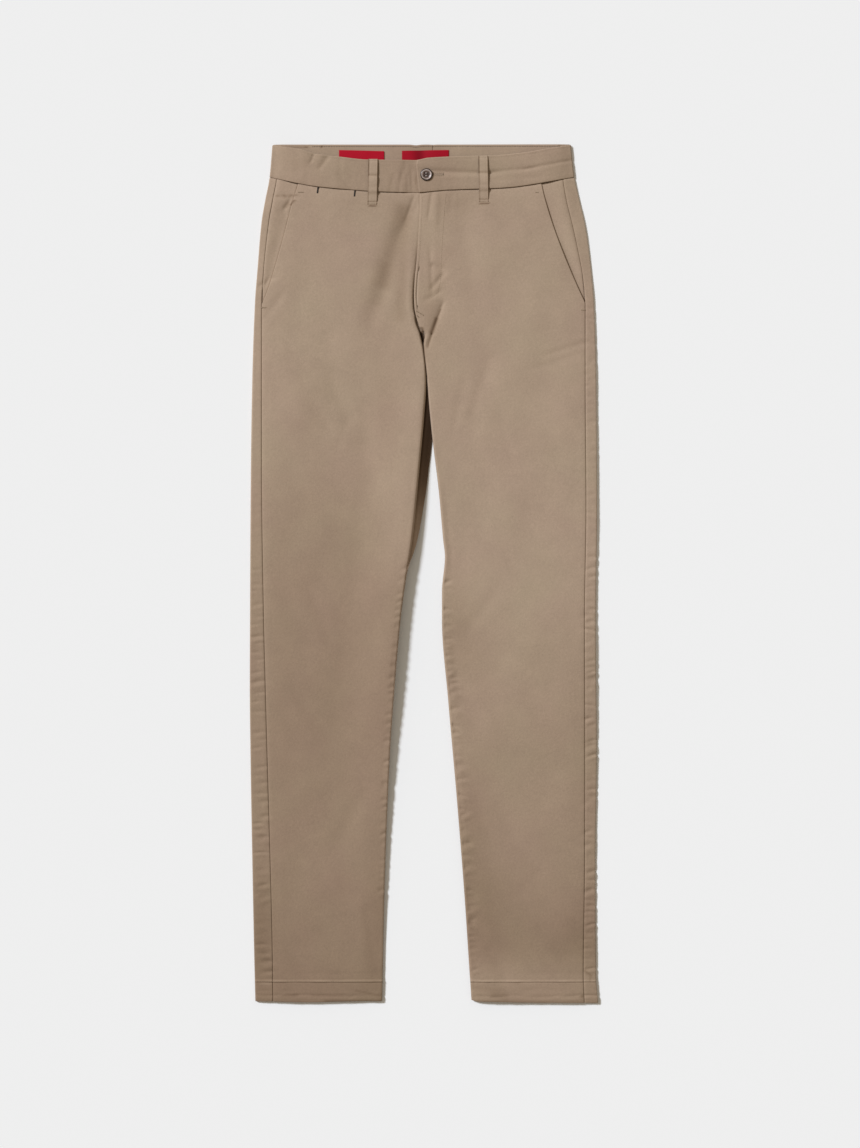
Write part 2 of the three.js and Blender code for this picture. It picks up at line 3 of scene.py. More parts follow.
import bpy
import numpy as np
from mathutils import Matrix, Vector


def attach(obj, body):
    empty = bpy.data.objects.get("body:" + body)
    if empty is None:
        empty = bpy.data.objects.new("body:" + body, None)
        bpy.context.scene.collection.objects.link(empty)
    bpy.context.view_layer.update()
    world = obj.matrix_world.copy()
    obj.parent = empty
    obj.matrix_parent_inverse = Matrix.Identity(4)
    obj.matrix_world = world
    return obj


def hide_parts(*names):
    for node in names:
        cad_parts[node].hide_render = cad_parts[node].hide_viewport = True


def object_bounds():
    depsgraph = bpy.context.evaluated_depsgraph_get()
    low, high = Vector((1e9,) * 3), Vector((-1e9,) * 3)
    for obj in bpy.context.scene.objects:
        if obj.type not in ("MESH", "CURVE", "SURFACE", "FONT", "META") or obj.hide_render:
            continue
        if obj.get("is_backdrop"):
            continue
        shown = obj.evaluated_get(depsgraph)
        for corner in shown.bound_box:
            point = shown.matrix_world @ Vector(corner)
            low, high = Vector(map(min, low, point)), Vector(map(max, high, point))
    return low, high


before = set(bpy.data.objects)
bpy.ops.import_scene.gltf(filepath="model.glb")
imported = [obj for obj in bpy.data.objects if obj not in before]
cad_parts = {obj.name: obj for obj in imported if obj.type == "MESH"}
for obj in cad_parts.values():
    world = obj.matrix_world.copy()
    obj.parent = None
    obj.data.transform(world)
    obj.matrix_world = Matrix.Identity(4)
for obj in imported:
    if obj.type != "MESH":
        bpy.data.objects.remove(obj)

CAD_BOX = [list(corner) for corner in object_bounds()]

MM = 0.001
MIDDLE_DOWN = 537.8

# Sizes shared with the solids
CLOTH = 1.2
HEM_CLOTH = 1.8
BAND_CLOTH = 2.0
LOOP_CLOTH = 1.0
GAP = 0.3
PANEL_TOP = 5.2
BAND_TOP = 7.6
WAIST_RISE = LOOP_CLOTH + GAP
WAIST_DOWN = 41.4
HEM_DOWN = 1073.0
HEM_TOP = HEM_DOWN - 25.0
HEM_STEP = 3.0
CURL_ANGLE = math.radians(85)
CURL_LENGTH = 3.4
UNDERLAP_X = 8.0
FLY_END = 208.0
FLY_DROP = 1.1
FLY_RAISE = 0.4
BAND_DROP = 1.9
BAND_BACK_EDGE = 0.3
DIP_END = 170.0
POCKET_END = 199.0
FACING_END = 203.0
FACING_UNDER = 12.0
FACING_DROP = 1.8
LIFT_REACH = 75.0
SHOW_SLOPE = 13.0
FOLD_MARGIN = 16.0
EDGE_ROUND = 0.7
PRESS_REACH = 42.0
BAND_PRESS = 3.3
BAND_HEIGHT = 40.0
INSEAM_TOP = 240.0
BACK_INSEAM_TOP = 251.0

# Visual cloth comes nearly together at its seams
SEAM_HALF = 0.06

# How much darker the bands are than the fronts
BAND_TONE = 0.07

# Fineness of the cloth grids
FRONT_PITCH = 1.9
BACK_PITCH = 1.25
OUTER_COLUMNS = 37
INNER_COLUMNS = 26
INNER_SHARE = 0.2
BACK_COLUMNS = 14
MARGIN = np.array([0.0, 0.05, 0.17, 0.35, 0.7, 1.2, 2.0])

# Round the side folds in equal turns, and along the rolled inner edges in finer and finer steps
TURNS = np.linspace(0, math.pi, 13)
CURL_SHARES = np.array([4, 8, 12, 16, 20, 24, 28, 34, 42, 55, 70, 82, 92, 97, 99, 100]) / 100

# Where the legs' inner sides ease towards the hems
LOW_EASE = (900, 1000)

# Light: the share of the floor's light that comes from the softbox, and where it stands
KEY_SHARE = 0.65
AMBIENT = 0.35
AMBIENT_TINT = (1.04, 0.93, 0.76)
KEY_HEIGHT = math.radians(38)
KEY_BEARING = math.radians(145)
KEY_SPREAD = math.radians(11)

# down, outer fold x, side seam x
RIGHT_SIDE = [
    (0, -189.8, -181.0), (41, -193.3, -184.2), (70, -198.8, -189.4), (97, -203.4, -194.1),
    (156, -208.5, -200.5), (196, -211.6, -202.9), (295, -215.0, -203.1), (415, -216.8, -203.0),
    (595, -217.8, -200.5), (680, -218.1, -198.4), (756, -217.3, -196.3), (860, -215.6, -193.3),
    (1017, -212.5, -189.5), (1073, -211.1, -188.9),
]
LEFT_SIDE = [
    (0, 183.7, 170.0), (41, 188.2, 173.8), (70, 194.4, 178.4), (96, 200.6, 184.6), (127, 205.6, 191.4),
    (166, 210.0, 198.6), (205, 212.9, 201.8), (295, 215.5, 201.8), (456, 216.6, 202.8), (595, 215.0, 200.9),
    (756, 216.2, 201.3), (895, 214.6, 201.1), (1039, 215.4, 199.4), (1073, 218.1, 200.6),
]

# down, inner edge x: the fly, then the inseam
RIGHT_INNER = [
    (208, UNDERLAP_X), (219, -10.8), (239, -4.4), (251, -1.4), (283, 2.3), (299, 2.8), (345, 0.0), (395, -4.5),
    (495, -14.3), (545, -22.3), (595, -29.0), (695, -37.7), (770, -42.8), (920, -48.8), (1073, -52.1),
]
LEFT_INNER = [
    (62, -4.9), (120, -7.6), (150, -9.6), (174, -11.9), (191, -12.5), (208, -11.6), (219, -8.9), (228, -5.6),
    (232.5, -1.5), (236, 1.5), (251, -0.8), (283, 2.7), (322, 5.8), (365, 10.0), (436, 18.5), (495, 23.8),
    (516, 26.0), (560, 22.3), (595, 22.3), (695, 30.0), (820, 41.0), (940, 50.4), (1073, 59.0),
]
SEAT_SEAM = [(0, 11.0), (120, 9.0), (180, 6.0), (215, 2.5), (240, -0.7)]

# down, slanted pocket edge x
RIGHT_POCKET = [(41, -154.2), (75, -164.6), (134, -180.6), (185, -196.5), (199, -202.4)]
LEFT_POCKET = [(41, 145.0), (66, 150.3), (120, 167.9), (174, 190.1), (199, 201.7)]

# x, down
WAIST_SEAM = [
    (-193.3, 41.4), (-155.0, 50.3), (-132.5, 54.0), (-86.0, 58.2), (-57.5, 60.2), (-6.6, 61.3), (11.6, 59.7),
    (30.4, 58.1), (81.3, 56.4), (106.3, 55.0), (142.5, 50.0), (188.2, 41.4),
]
BAND_EDGE = [
    (-190.0, 1.7), (-156.3, 6.6), (-136.9, 12.5), (-106.0, 16.3), (-70.0, 19.9), (-8.8, 20.3), (5.0, 17.8),
    (51.3, 15.6), (82.5, 14.9), (126.3, 10.9), (155.0, 5.9), (184.0, 1.0),
]
LEFT_BAND_END = [(20, -8.4), (26, -9.5), (40, -8.4), (60, -6.1)]

# down, how far the outer folds are pressed down
PRESS = [(0, 3.0), (150, 3.0), (260, 2.2), (330, 1.3), (680, 1.3), (780, 2.1), (1073, 2.4)]

# down, how far the leg's inner edge stands off the surface
RIGHT_LIFT = [(270, 0), (380, 7.5), (450, 9.5), (640, 9.5), (770, 5.5), (870, 2), (1000, 0)]
LEFT_LIFT = [(0, 0), (1073, 0)]

# down, how far the right back shows past the front's inseam, and how dark the painted shade on it is there
BACK_SHOW = [
    (283, 0), (300, 0.7), (320, 3.4), (345, 7.0), (370, 11.4), (395, 11.4), (420, 11.2), (457, 9.0), (490, 6.5),
    (535, 0),
]
SHADE_SHOW = [
    (283, 0.92), (300, 0.92), (330, 0.9), (370, 0.85), (400, 0.78), (420, 0.7), (445, 0.5), (470, 0.25),
    (535, 0),
]

# Soft folds: from x, from down, to x, to down, half width, height
FOLDS = [
    (-13, 66, -58, 200, 12, -2.3), (-17, 120, -19, 200, 8, 0.9), (21, 205, 6, 245, 6, -0.9),
    (52, 90, 62, 190, 16, -1.3), (-110, 290, -80, 370, 15, -1.0), (-80, 300, -66, 410, 13, -1.1),
    (82, 275, 62, 350, 13, -0.75), (30, 640, 60, 720, 15, -1.1),
]
BAND_FOLDS = [
    (-137, 12, -144, 30, 8, -0.5), (-118, 16, -128, 32, 8, -0.4), (14, 35, 80, 36, 9, -0.5),
]

# Finer creases on the fronts, in the same columns
CREASES = [
    (-14, 70, -22, 92, 2.6, -0.7), (-12, 80, -30, 110, 5.0, -0.5), (9, 65, 6, 88, 2.6, -0.7),
    (17, 62, 15, 92, 4.0, 0.5), (36, 60, 33, 82, 2.2, -0.6), (43, 60, 43, 76, 2.0, -0.4),
    (12, 152, 22, 157, 4.0, -1.5), (12, 178, 24, 163, 3.0, -1.0), (4, 194, 18, 186, 3.0, -0.8),
    (8, 140, 10, 178, 3.0, -0.7), (-185, 66, -164, 67, 1.8, -0.8), (-168, 72, -174, 80, 2.6, -1.5),
    (-180, 84, -168, 92, 3.0, -0.7), (-203, 176, -190, 168, 3.0, -1.0), (-196, 214, -180, 192, 4.0, -0.7),
    (-182, 232, -160, 262, 5.0, -0.4), (150, 235, 190, 262, 4.5, -0.6), (160, 262, 196, 250, 3.5, -0.6),
    (140, 280, 178, 268, 5.0, -0.4), (-112, 305, -96, 345, 7.0, -0.45), (-96, 345, -104, 372, 6.0, -0.35),
    (-150, 300, -124, 352, 7.0, -0.5), (78, 285, 62, 330, 5.5, -0.4), (50, 300, 40, 345, 6.0, -0.5),
    (95, 340, 110, 392, 7.0, -0.4), (-142, 560, -120, 610, 9.0, -0.6), (90, 560, 60, 600, 9.0, -0.6),
    (48, 608, 96, 640, 8.0, -0.7), (70, 470, 110, 520, 10.0, -0.5), (-80, 820, -110, 880, 11.0, -0.6),
    (100, 850, 140, 905, 10.0, -0.6), (-150, 700, -120, 745, 9.0, -0.5), (84, 1010, 100, 1040, 8.0, -0.7),
    (150, 985, 178, 1012, 8.0, -0.6), (-176, 1000, -150, 1030, 8.0, -0.6), (-70, 965, -64, 1010, 7.0, -0.6),
]

# Trough at the crotch of the left front, and the slit beside the fly on the right front
CROTCH_CREASE = (22.4, 203, 5.4, 250, 2.2, -1.15)
FLY_SLIT = [(120, 0.0), (160, 0.3), (175, 0.7), (190, 1.2), (215, 2.0), (240, 2.2), (262, 0.8), (300, 0.0)]

# down, how much of its full tone the cloth keeps: painted falloff of the light, darker towards the hems
RIGHT_PAINTED_FALLOFF = [
    (0, 1.0), (250, 1.0), (330, 0.99), (400, 0.95), (450, 0.90), (510, 0.84), (570, 0.79), (700, 0.75),
    (880, 0.76), (945, 0.735), (1010, 0.70), (1048, 0.66), (1073, 0.64),
]
LEFT_PAINTED_FALLOFF = [
    (0, 1.0), (540, 1.0), (630, 0.94), (700, 0.91), (760, 0.87), (885, 0.83), (945, 0.76), (1000, 0.70),
    (1035, 0.78), (1052, 0.80), (1073, 0.78),
]
# Slanted strokes of painted shade in the fly slit, the crotch trough, creases, crumples and under the loops'
# ends, and a few lighter ones of painted light: from x, from down, to x, to down, half width, change of tone
PAINTED_LIGHT_AND_SHADE_STROKES = [
    (-26, 80, -52, 175, 13, -0.15), (-22, 95, -30, 215, 8, -0.12), (-10.6, 40, -9.0, 58, 0.7, -0.2),
    (-7.8, 21, -7.6, 25, 3.0, 0.10), (-48, 150, -60, 200, 12, -0.05), (30, 130, 14, 182, 10, -0.05),
    (-12.4, 165, -13.0, 188, 0.55, -0.22), (-13.1, 190, -12.6, 206, 0.6, -0.45),
    (-12.3, 208, -9.0, 222, 0.7, -0.7), (-8.6, 223.5, -4.4, 236, 1.0, -0.85),
    (-4.0, 236, -1.4, 248, 1.9, -0.95), (-1.0, 250, 3.4, 292, 1.2, -0.95), (-2.6, 229.0, -1.4, 234, 1.6, -0.5),
    (-2.4, 234, -0.2, 243, 1.6, -0.5), (20.6, 207, 16.4, 217, 1.0, -0.36), (15.6, 218, 9.0, 237, 2.3, -0.6),
    (9.2, 238, 4.6, 254, 1.2, -0.42), (-69.6, 77.6, -58.6, 77.8, 1.1, -0.5),
    (68.6, 74.6, 80.4, 74.8, 1.1, -0.5), (-183.7, 65.0, -159.8, 64.0, 0.7, -0.25),
    (-175.7, 67.4, -160.6, 65.0, 0.6, -0.20), (-162.0, 70.6, -166.9, 77.0, 1.3, -0.42),
    (-168.5, 73.5, -172.5, 80.0, 1.6, -0.18), (-158.5, 52.5, -161.5, 62.0, 0.6, -0.35),
    (-176.6, 1064.5, -157.5, 1063.2, 1.2, -0.12), (-138.8, 1064.5, -102.5, 1064.0, 1.2, -0.10),
    (-85.0, 1058.5, -54.0, 1065.6, 1.3, -0.12), (-121.0, 1071.6, -51.6, 1071.6, 1.5, -0.16),
    (-203.0, 1050.4, -191.0, 1050.4, 1.4, 0.12), (84.0, 1064.0, 104.0, 1066.0, 4.5, -0.10),
    (60.0, 1054.0, 99.0, 1059.0, 4.0, -0.06), (196.5, 1065.0, 198.5, 1067.5, 2.2, -0.30),
    (200.5, 1034.0, 209.0, 1040.0, 1.3, -0.20), (209.0, 1040.0, 207.0, 1047.0, 1.3, -0.15),
    (70.0, 1072.0, 195.0, 1072.0, 1.5, -0.10),
]
# The same painted shade inside the back of the waist, in its folds and beside the back loops
INNER_PAINTED_SHADE_STROKES = [
    (-177, 3.4, -147, 3.8, 0.8, -0.25), (-149, 3.0, -146, 4.0, 0.9, -0.25),
    (-128.6, 2.6, -127.2, 4.4, 1.0, -0.6), (169.4, 1.0, 169.4, 2.6, 1.2, -0.5), (-26, 20, -22, 26, 3.0, -0.15),
]
# Soft patches of painted light (positive) and painted shade (negative): x, down, reach across, reach along,
# change of tone
PAINTED_LIGHT_AND_SHADE_PATCHES = [
    (-30, 450, 34, 90, 0.05), (-22, 530, 22, 60, 0.05), (-48, 345, 30, 75, -0.10), (-60, 215, 22, 40, -0.06),
    (-203, 600, 12, 130, 0.06), (-203, 970, 14, 70, -0.10), (-58, 970, 16, 80, -0.07), (-70, 66, 40, 18, -0.05),
    (8, 212, 12, 40, -0.13), (38, 66, 34, 20, -0.08), (77, 920, 34, 34, -0.05), (-140, 330, 26, 60, -0.05),
    (-130, 440, 60, 70, -0.04), (34, 590, 26, 60, -0.10), (52, 640, 22, 40, -0.05), (52, 860, 26, 60, -0.12),
    (62, 960, 30, 50, -0.07), (205, 760, 20, 150, -0.04), (198, 1000, 24, 40, -0.05),
    (-205, 1000, 20, 60, -0.05), (120, 1040, 60, 12, 0.04), (110, 820, 40, 120, 0.02),
]

# Short wrinkles across the right side seam: down, half width, depth, slant, middle, reach
PUCKERS = [
    (532.5, 1.9, 0.60, 0.10, 9, 8), (551.0, 2.2, 0.75, -0.10, 4, 9), (559.0, 1.6, 0.50, 0.10, 12, 6),
    (576.0, 2.3, 0.85, 0.20, 7, 9), (591.0, 1.8, 0.70, 0.00, 3, 6), (601.0, 1.7, 0.60, 0.15, 13, 7),
    (616.0, 2.5, 1.40, 0.10, 8, 11), (624.0, 1.6, 0.60, 0.00, 4, 6), (636.0, 1.9, 0.90, -0.10, 11, 7),
    (645.0, 1.6, 0.60, 0.10, 5, 6), (661.0, 2.1, 0.85, 0.20, 10, 8), (672.5, 2.6, 1.55, 0.15, 8, 11),
    (686.0, 1.9, 0.95, 0.00, 5, 8), (697.5, 1.8, 0.75, 0.10, 12, 6), (710.0, 2.2, 1.00, -0.10, 6, 9),
    (736.0, 2.1, 0.90, 0.10, 9, 8), (745.0, 1.6, 0.65, 0.00, 3, 6), (755.0, 1.9, 0.80, 0.20, 12, 7),
    (779.0, 2.3, 1.00, 0.10, 6, 9), (790.0, 1.8, 0.65, 0.00, 11, 6), (799.0, 2.1, 0.75, 0.10, 5, 8),
]

# Finer wrinkles of the band: from x, from down, to x, to down, half width, height
BAND_CREASES = [
    (-136.9, 12.5, -141.4, 23.0, 1.5, -0.9), (-119.6, 15.5, -129.5, 30.0, 3.0, -0.8),
    (-104, 20, -104, 34, 2.5, -0.25), (-158, 10, -156, 34, 5.0, -0.35), (-107, 40, -91, 55, 2.2, -0.5),
    (-28, 38, -31, 58, 1.8, -0.5), (-21, 42, -20, 60, 1.6, -0.5), (-16, 36, -15, 60, 1.4, -0.5),
    (-38, 40, -42, 58, 2.4, -0.35), (-24, 24, -26, 44, 3.0, -0.4), (11, 34.5, 80, 37, 3.4, -1.5),
    (20, 42, 66, 42, 3.0, 0.3), (80, 36, 132, 31, 2.6, -0.8), (132, 31, 184, 20.5, 2.2, -0.8),
    (86, 45, 140, 42, 3.0, -0.25), (25, 17, 60, 23, 4.0, 0.25),
]

# Belt loops: middle, and where each starts and ends
FRONT_LOOPS = [("right", -63.5, 19.5, 76.8), ("left", 73.8, 15.6, 73.8)]
BACK_LOOPS = [("right", -128), ("centre", 11), ("left", 164)]
BACK_LOOP_FROM = 1.5
BACK_LOOP_TO = 58
LOOP_WIDTH = 12.0

# Plain labels: from x, to x, from down, to down, tilt, dent, change of tone
LABELS = [
    ("small", -106.4, -49.8, 8.2, 27, 1.4, 0.0, -0.05), ("wide", -27.6, 31, 7.9, 27, -1.0, -0.9, 0.10),
]
LABEL_CLOTH = 0.8

# Button: radius and height of its profile, from the underside round to the dish
BUTTON_X = 3.1
BUTTON_DOWN = 39.1
BUTTON_DISH = 1.35
BUTTON_PROFILE = [
    (6.6, 0.0), (7.3, 0.2), (7.7, 0.65), (7.7, 1.15), (7.4, 1.6), (6.9, 1.95), (6.2, 2.1), (5.5, 2.0),
    (4.9, 1.75), (4.5, 1.5), (4.0, BUTTON_DISH), (2.0, BUTTON_DISH - 0.05),
]
HOLE_RADIUS = 0.95
HOLE_SIDES = 14
HOLES = [(-1.75, -1.75), (-1.75, 1.75), (1.75, -1.75), (1.75, 1.75)]
# Distance from the middle and colour of the horn, with a painted highlight ring on the rim and painted shade on
# the outer bevel
HORN_RINGS_AND_PAINTED_LIGHT = [
    (0.0, (0.055, 0.034, 0.028)), (0.44, (0.070, 0.040, 0.032)), (0.60, (0.17, 0.12, 0.10)),
    (0.72, (0.46, 0.39, 0.35)), (0.80, (0.14, 0.095, 0.08)), (0.86, (0.014, 0.008, 0.006)),
    (1.0, (0.012, 0.007, 0.005)),
]
BUTTONHOLE_DOWN = 38.4
BUTTONHOLE_END = 24.2

# Stitching of the fly, x and down
J_STITCH = [
    (27.4, 62.5), (25.2, 87.5), (23.1, 116.2), (21.6, 145.0), (20.5, 171.2), (17.4, 185.6), (11.6, 190.0),
    (5.0, 195.0),
]
# Bartacks: from x, from down, to x, to down, width
TACKS = [
    (-203.8, 204.5, -197.3, 204.5, 1.8), (-157.5, 60.8, -150.5, 60.8, 1.6), (196.3, 207.5, 201.3, 207.5, 1.8),
    (138.8, 61.0, 143.1, 61.0, 1.6), (-10.0, 208.8, -0.5, 214.5, 1.5), (-9.4, 214.4, -6.3, 216.9, 1.2),
]
DARK_TACKS = [
    (-132.2, 54.6, -133.2, 62.0, 2.3), (-86.2, 58.8, -86.9, 66.0, 2.3),
]

# Colours, linear
TWILL_WARM = (0.380, 0.272, 0.201)
TWILL_OLIVE = (0.369, 0.279, 0.196)
THREAD = (0.335, 0.245, 0.165)
THREAD_DARK = (0.022, 0.014, 0.009)
THREAD_PALE = (0.360, 0.300, 0.265)
SATIN = (0.395, 0.004, 0.018)

# How strongly each colour follows the painted shade: painted shade is warmer
TONE_POWERS = (("Red", 0.97), ("Green", 1.12), ("Blue", 1.29))


class Curve:
    """Smooth value between the rows of a table that never overshoots them."""

    def __init__(self, rows, column=1):
        self.at = np.array([row[0] for row in rows], float)
        self.value = np.array([row[column] for row in rows], float)
        slope = np.diff(self.value) / np.diff(self.at)
        total = slope[:-1] + slope[1:]
        same_way = slope[:-1] * slope[1:] > 0
        middle = 2 * slope[:-1] * slope[1:] / np.where(same_way, total, 1.0)
        self.tangent = np.concatenate([slope[:1], np.where(same_way, middle, 0.0), slope[-1:]])

    def __call__(self, at):
        at = np.clip(np.asarray(at, float), self.at[0], self.at[-1])
        row = np.clip(np.searchsorted(self.at, at, side="right") - 1, 0, len(self.at) - 2)
        length = self.at[row + 1] - self.at[row]
        t = (at - self.at[row]) / length
        start = self.value[row]
        bend = t * (1 - t) ** 2 * self.tangent[row] - t * t * (1 - t) * self.tangent[row + 1]
        return start + (self.value[row + 1] - start) * t * t * (3 - 2 * t) + length * bend


def smooth(low, high, at):
    """Rises from 0 at low to 1 at high."""
    t = np.clip((np.asarray(at, float) - low) / (high - low), 0.0, 1.0)
    return t * t * (3 - 2 * t)


def fall(low, high, at):
    """Falls from 1 at low to 0 at high."""
    return 1 - smooth(low, high, at)


def mix(a, b, t):
    return a + (b - a) * t


def bump(at, middle, width):
    return np.exp(-(((at - middle) / width) ** 2))


def soft_noise(x, down, size, seed, stretch=1.0):
    """Smooth random height, about -1 to 1, with bumps of one size."""
    lattice = np.random.default_rng(seed).uniform(-1, 1, (64, 64))
    u = np.asarray(x, float) / size + 20.3
    v = np.asarray(down, float) / (size * stretch) + 7.7
    i = np.floor(u).astype(int)
    j = np.floor(v).astype(int)
    corner = lambda a, b: lattice[(i + a) % 64, (j + b) % 64]
    s = smooth(0, 1, u - i)
    top = mix(corner(0, 0), corner(1, 0), s)
    bottom = mix(corner(0, 1), corner(1, 1), s)
    return mix(top, bottom, smooth(0, 1, v - j))


def fold_height(folds, x, down, fade_share=0.25):
    """Soft troughs and ridges along straight runs, fading out past both ends."""
    height = np.zeros(np.broadcast(x, down).shape)
    for x0, down0, x1, down1, width, depth in folds:
        run_x = x1 - x0
        run_down = down1 - down0
        length = math.hypot(run_x, run_down)
        lengthwise = ((x - x0) * run_x + (down - down0) * run_down) / length
        sideways = ((x - x0) * run_down - (down - down0) * run_x) / length
        past = np.maximum(0, np.maximum(-lengthwise, lengthwise - length))
        height += depth * bump(past, 0, fade_share * length) * bump(sideways, 0, width)
    return height


class Leg:
    """One leg's edges. side is -1 for the wearer's right and 1 for the left."""

    def __init__(self, word, side, edges, inner, pocket, tone, lift):
        self.word = word
        self.side = side
        self.fold = Curve(edges, 1)
        self.seam = Curve(edges, 2)
        self.inner = Curve(inner)
        self.pocket = Curve(pocket)
        # Painted falloff of the light along the leg
        self.tone = Curve(tone)
        self.lift = Curve(lift)


RIGHT = Leg("right", -1, RIGHT_SIDE, RIGHT_INNER, RIGHT_POCKET, RIGHT_PAINTED_FALLOFF, RIGHT_LIFT)
LEFT = Leg("left", 1, LEFT_SIDE, LEFT_INNER, LEFT_POCKET, LEFT_PAINTED_FALLOFF, LEFT_LIFT)
SEAT = Curve(SEAT_SEAM)
WAIST = Curve(WAIST_SEAM)
BAND_TOP_EDGE = Curve(BAND_EDGE)
BAND_END = Curve(LEFT_BAND_END)
SLIT = Curve(FLY_SLIT)
PRESSED = Curve(PRESS)
SHOWN = Curve(BACK_SHOW)
SHOWN_SHADE = Curve(SHADE_SHOW)


def cloth_at(row):
    return mix(CLOTH, HEM_CLOTH, smooth(HEM_TOP - HEM_STEP, HEM_TOP, row))


def from_inseam(leg, x, down):
    return np.abs(leg.inner(np.maximum(down, INSEAM_TOP)) - x)


def pressed_at(leg, x, down):
    """1 at the leg's outer fold, where both layers are pressed together, easing to 0 inside."""
    inside = np.clip(leg.side * (leg.fold(down) - x) / PRESS_REACH, 0, 1)
    return (1 - inside) ** 1.6


def waist_rise(leg, x, down):
    """The back loops hold the waist off the surface, except at its outer folds."""
    return WAIST_RISE * fall(60, 110, down) * fall(0.5, 1.0, pressed_at(leg, x, down))


def lift_at(leg, x, down):
    """How far an inner edge stands off the surface, easing to nothing on both sides of it."""
    inside = leg.inner(np.maximum(down, INSEAM_TOP)) - x
    share = np.where(inside < 0, smooth(0, SHOW_SLOPE, -inside), smooth(0, LIFT_REACH, inside))
    return leg.lift(down) * (1 - share)


def pucker_marks(seed, start, end, pitch, depth, middles):
    """Uneven short wrinkles along a seam, in the columns of PUCKERS."""
    rng = np.random.default_rng(seed)
    marks = []
    down = start
    while down < end:
        strength = depth * rng.uniform(0.15, 1.0) ** 1.3
        slant = rng.uniform(-0.25, 0.3)
        marks.append((down, rng.uniform(1.5, 3.4), strength, slant, rng.uniform(*middles), rng.uniform(4.5, 9)))
        down += pitch * rng.uniform(0.5, 1.6)
    return marks


def pucker_height(marks, outward, down):
    """Each wrinkle is a narrow bowed trough with a lower ridge on its downward side."""
    height = np.zeros(np.broadcast(outward, down).shape)
    for at, width, depth, slant, middle, reach in marks:
        across = outward - middle
        t = (down - at - slant * across - 0.012 * across * across) / width
        height += depth * bump(across, 0, reach) * (0.45 * bump(t, 1.8, 1.4) - 0.9 * bump(t, 0, 1.15))
    return height


SIDE_MARKS = {
    -1: pucker_marks(5, 196, 520, 14.0, 0.7, (2, 12)) + PUCKERS + pucker_marks(6, 812, 1044, 8.5, 2.0, (2, 15)),
    1: pucker_marks(9, 205, 1040, 9.0, 1.8, (2, 12)),
}
INNER_MARKS = {
    -1: pucker_marks(13, 530, 940, 9.0, 1.6, (1, 4)),
    1: pucker_marks(17, 548, 1040, 8.0, 2.2, (4, 9)),
}


def seam_relief(leg, x, down):
    """Wrinkles beside the side seam and the inseam, and a pressed seam allowance."""
    left = leg.side > 0
    outward = leg.side * (x - leg.seam(down))
    strip = np.where(outward > 0, 1.0, 0.55 * smooth(-11, -1, outward)) * (0.35 + 0.65 * smooth(420, 620, down))
    side = pucker_height(SIDE_MARKS[leg.side], outward, down) * strip
    inside = from_inseam(leg, x, down)
    near = smooth(0.5, 4, inside) if left else fall(5, 11, inside)
    inner = pucker_height(INNER_MARKS[leg.side], inside, down) * near * fall(12, 22, inside)
    reach = 6.2 if left else 16.0
    pressed = smooth(600, 650, down) * fall(760, 820, down) if left else smooth(860, 910, down)
    allowance = 0.15 * smooth(-reach - 0.9, -reach + 0.3, outward) * fall(-1.5, 0, outward) * pressed
    return side + inner + allowance


def hem_relief(x, down):
    """The turned-up hem: a stitched groove, a ridge above it and slanted roping below."""
    wave = 0.8 * soft_noise(x, 0, 24, 55) + 0.5 * soft_noise(x, 0, 10, 58)
    drop_at = HEM_TOP - 0.2
    groove = -0.65 * bump(down, drop_at + 0.4, 0.8)
    rise = np.clip((down - drop_at + 3.2) / 2.8, 0, 1) ** 1.3 * fall(drop_at - 0.5, drop_at + 0.4, down)
    ridge = (1.0 + 0.55 * soft_noise(x, 0, 9, 56)) * rise
    hollow = -0.4 * bump(down, HEM_TOP - 10, 3.0) * (0.5 + 0.5 * soft_noise(x, 0, 17, 57))
    crease_at = HEM_DOWN - 8.5 + 2.6 * wave
    broken = 0.65 + 0.55 * soft_noise(x, 0, 15, 59)
    roping = 0.30 * soft_noise(x - 1.6 * down, down, 6.5, 51, 2.6)
    crease = (0.45 * bump(down, crease_at + 3.0, 1.5) - 1.1 * bump(down, crease_at, 1.5)) * broken
    second = 0.5 * bump(down, HEM_DOWN - 13.5 - 2.0 * wave, 1.6) * (1.1 - broken)
    return groove + ridge + hollow + (roping + crease - second) * smooth(HEM_TOP, HEM_TOP + 4, down)


def undulation(x, down):
    broad = 1.0 * soft_noise(x, down, 95, 3, 1.6)
    middle = 0.62 * soft_noise(x + 0.3 * down, down, 42, 4, 1.8)
    small = 0.20 * soft_noise(x - 0.4 * down, down, 17, 5, 1.5)
    return broad + middle + small + 0.035 * soft_noise(x, down, 7, 6, 1.2)


def relief(leg, x, down):
    """Everything finer than the solids' folds, on a front or beside it."""
    below = down - WAIST(x)
    calm = smooth(225, 245, down) * fall(1, 9, from_inseam(leg, x, down))
    height = undulation(x, down) * (1 - np.maximum(calm, fall(0, 14, below)))
    height = height + fold_height(CREASES, x, down, 0.3) * smooth(0, 3, below)
    height = height + seam_relief(leg, x, down) + hem_relief(x, down)
    height = height + 0.10 * soft_noise(x, down, 7, 8, 5) * bump(below, 6, 9)
    if leg.side > 0:
        from_fly = x - leg.inner(down)
        edge = 0.4 * bump(from_fly, 1.7, 0.8) - 0.35 * bump(from_fly, 3.6, 0.9)
        edge = edge * smooth(140, 165, down) * fall(200, 212, down)
        return height + edge + fold_height([CROTCH_CREASE], x, down, 0.12)
    valley_at = mix(LEFT.inner(down) - 0.9, leg.inner(np.maximum(down, 219)), smooth(206, 218, down))
    beside = np.minimum(x - valley_at, 0)
    rim = 0.45 * bump(beside, -5.0, 3.0) * smooth(120, 170, down) * fall(225, 262, down)
    roll = fall(0, 6, from_inseam(leg, x, down)) ** 2 * smooth(262, 330, down) * fall(480, 620, down)
    return height + rim - SLIT(down) * bump(beside, 0, 0.9) - 1.5 * roll


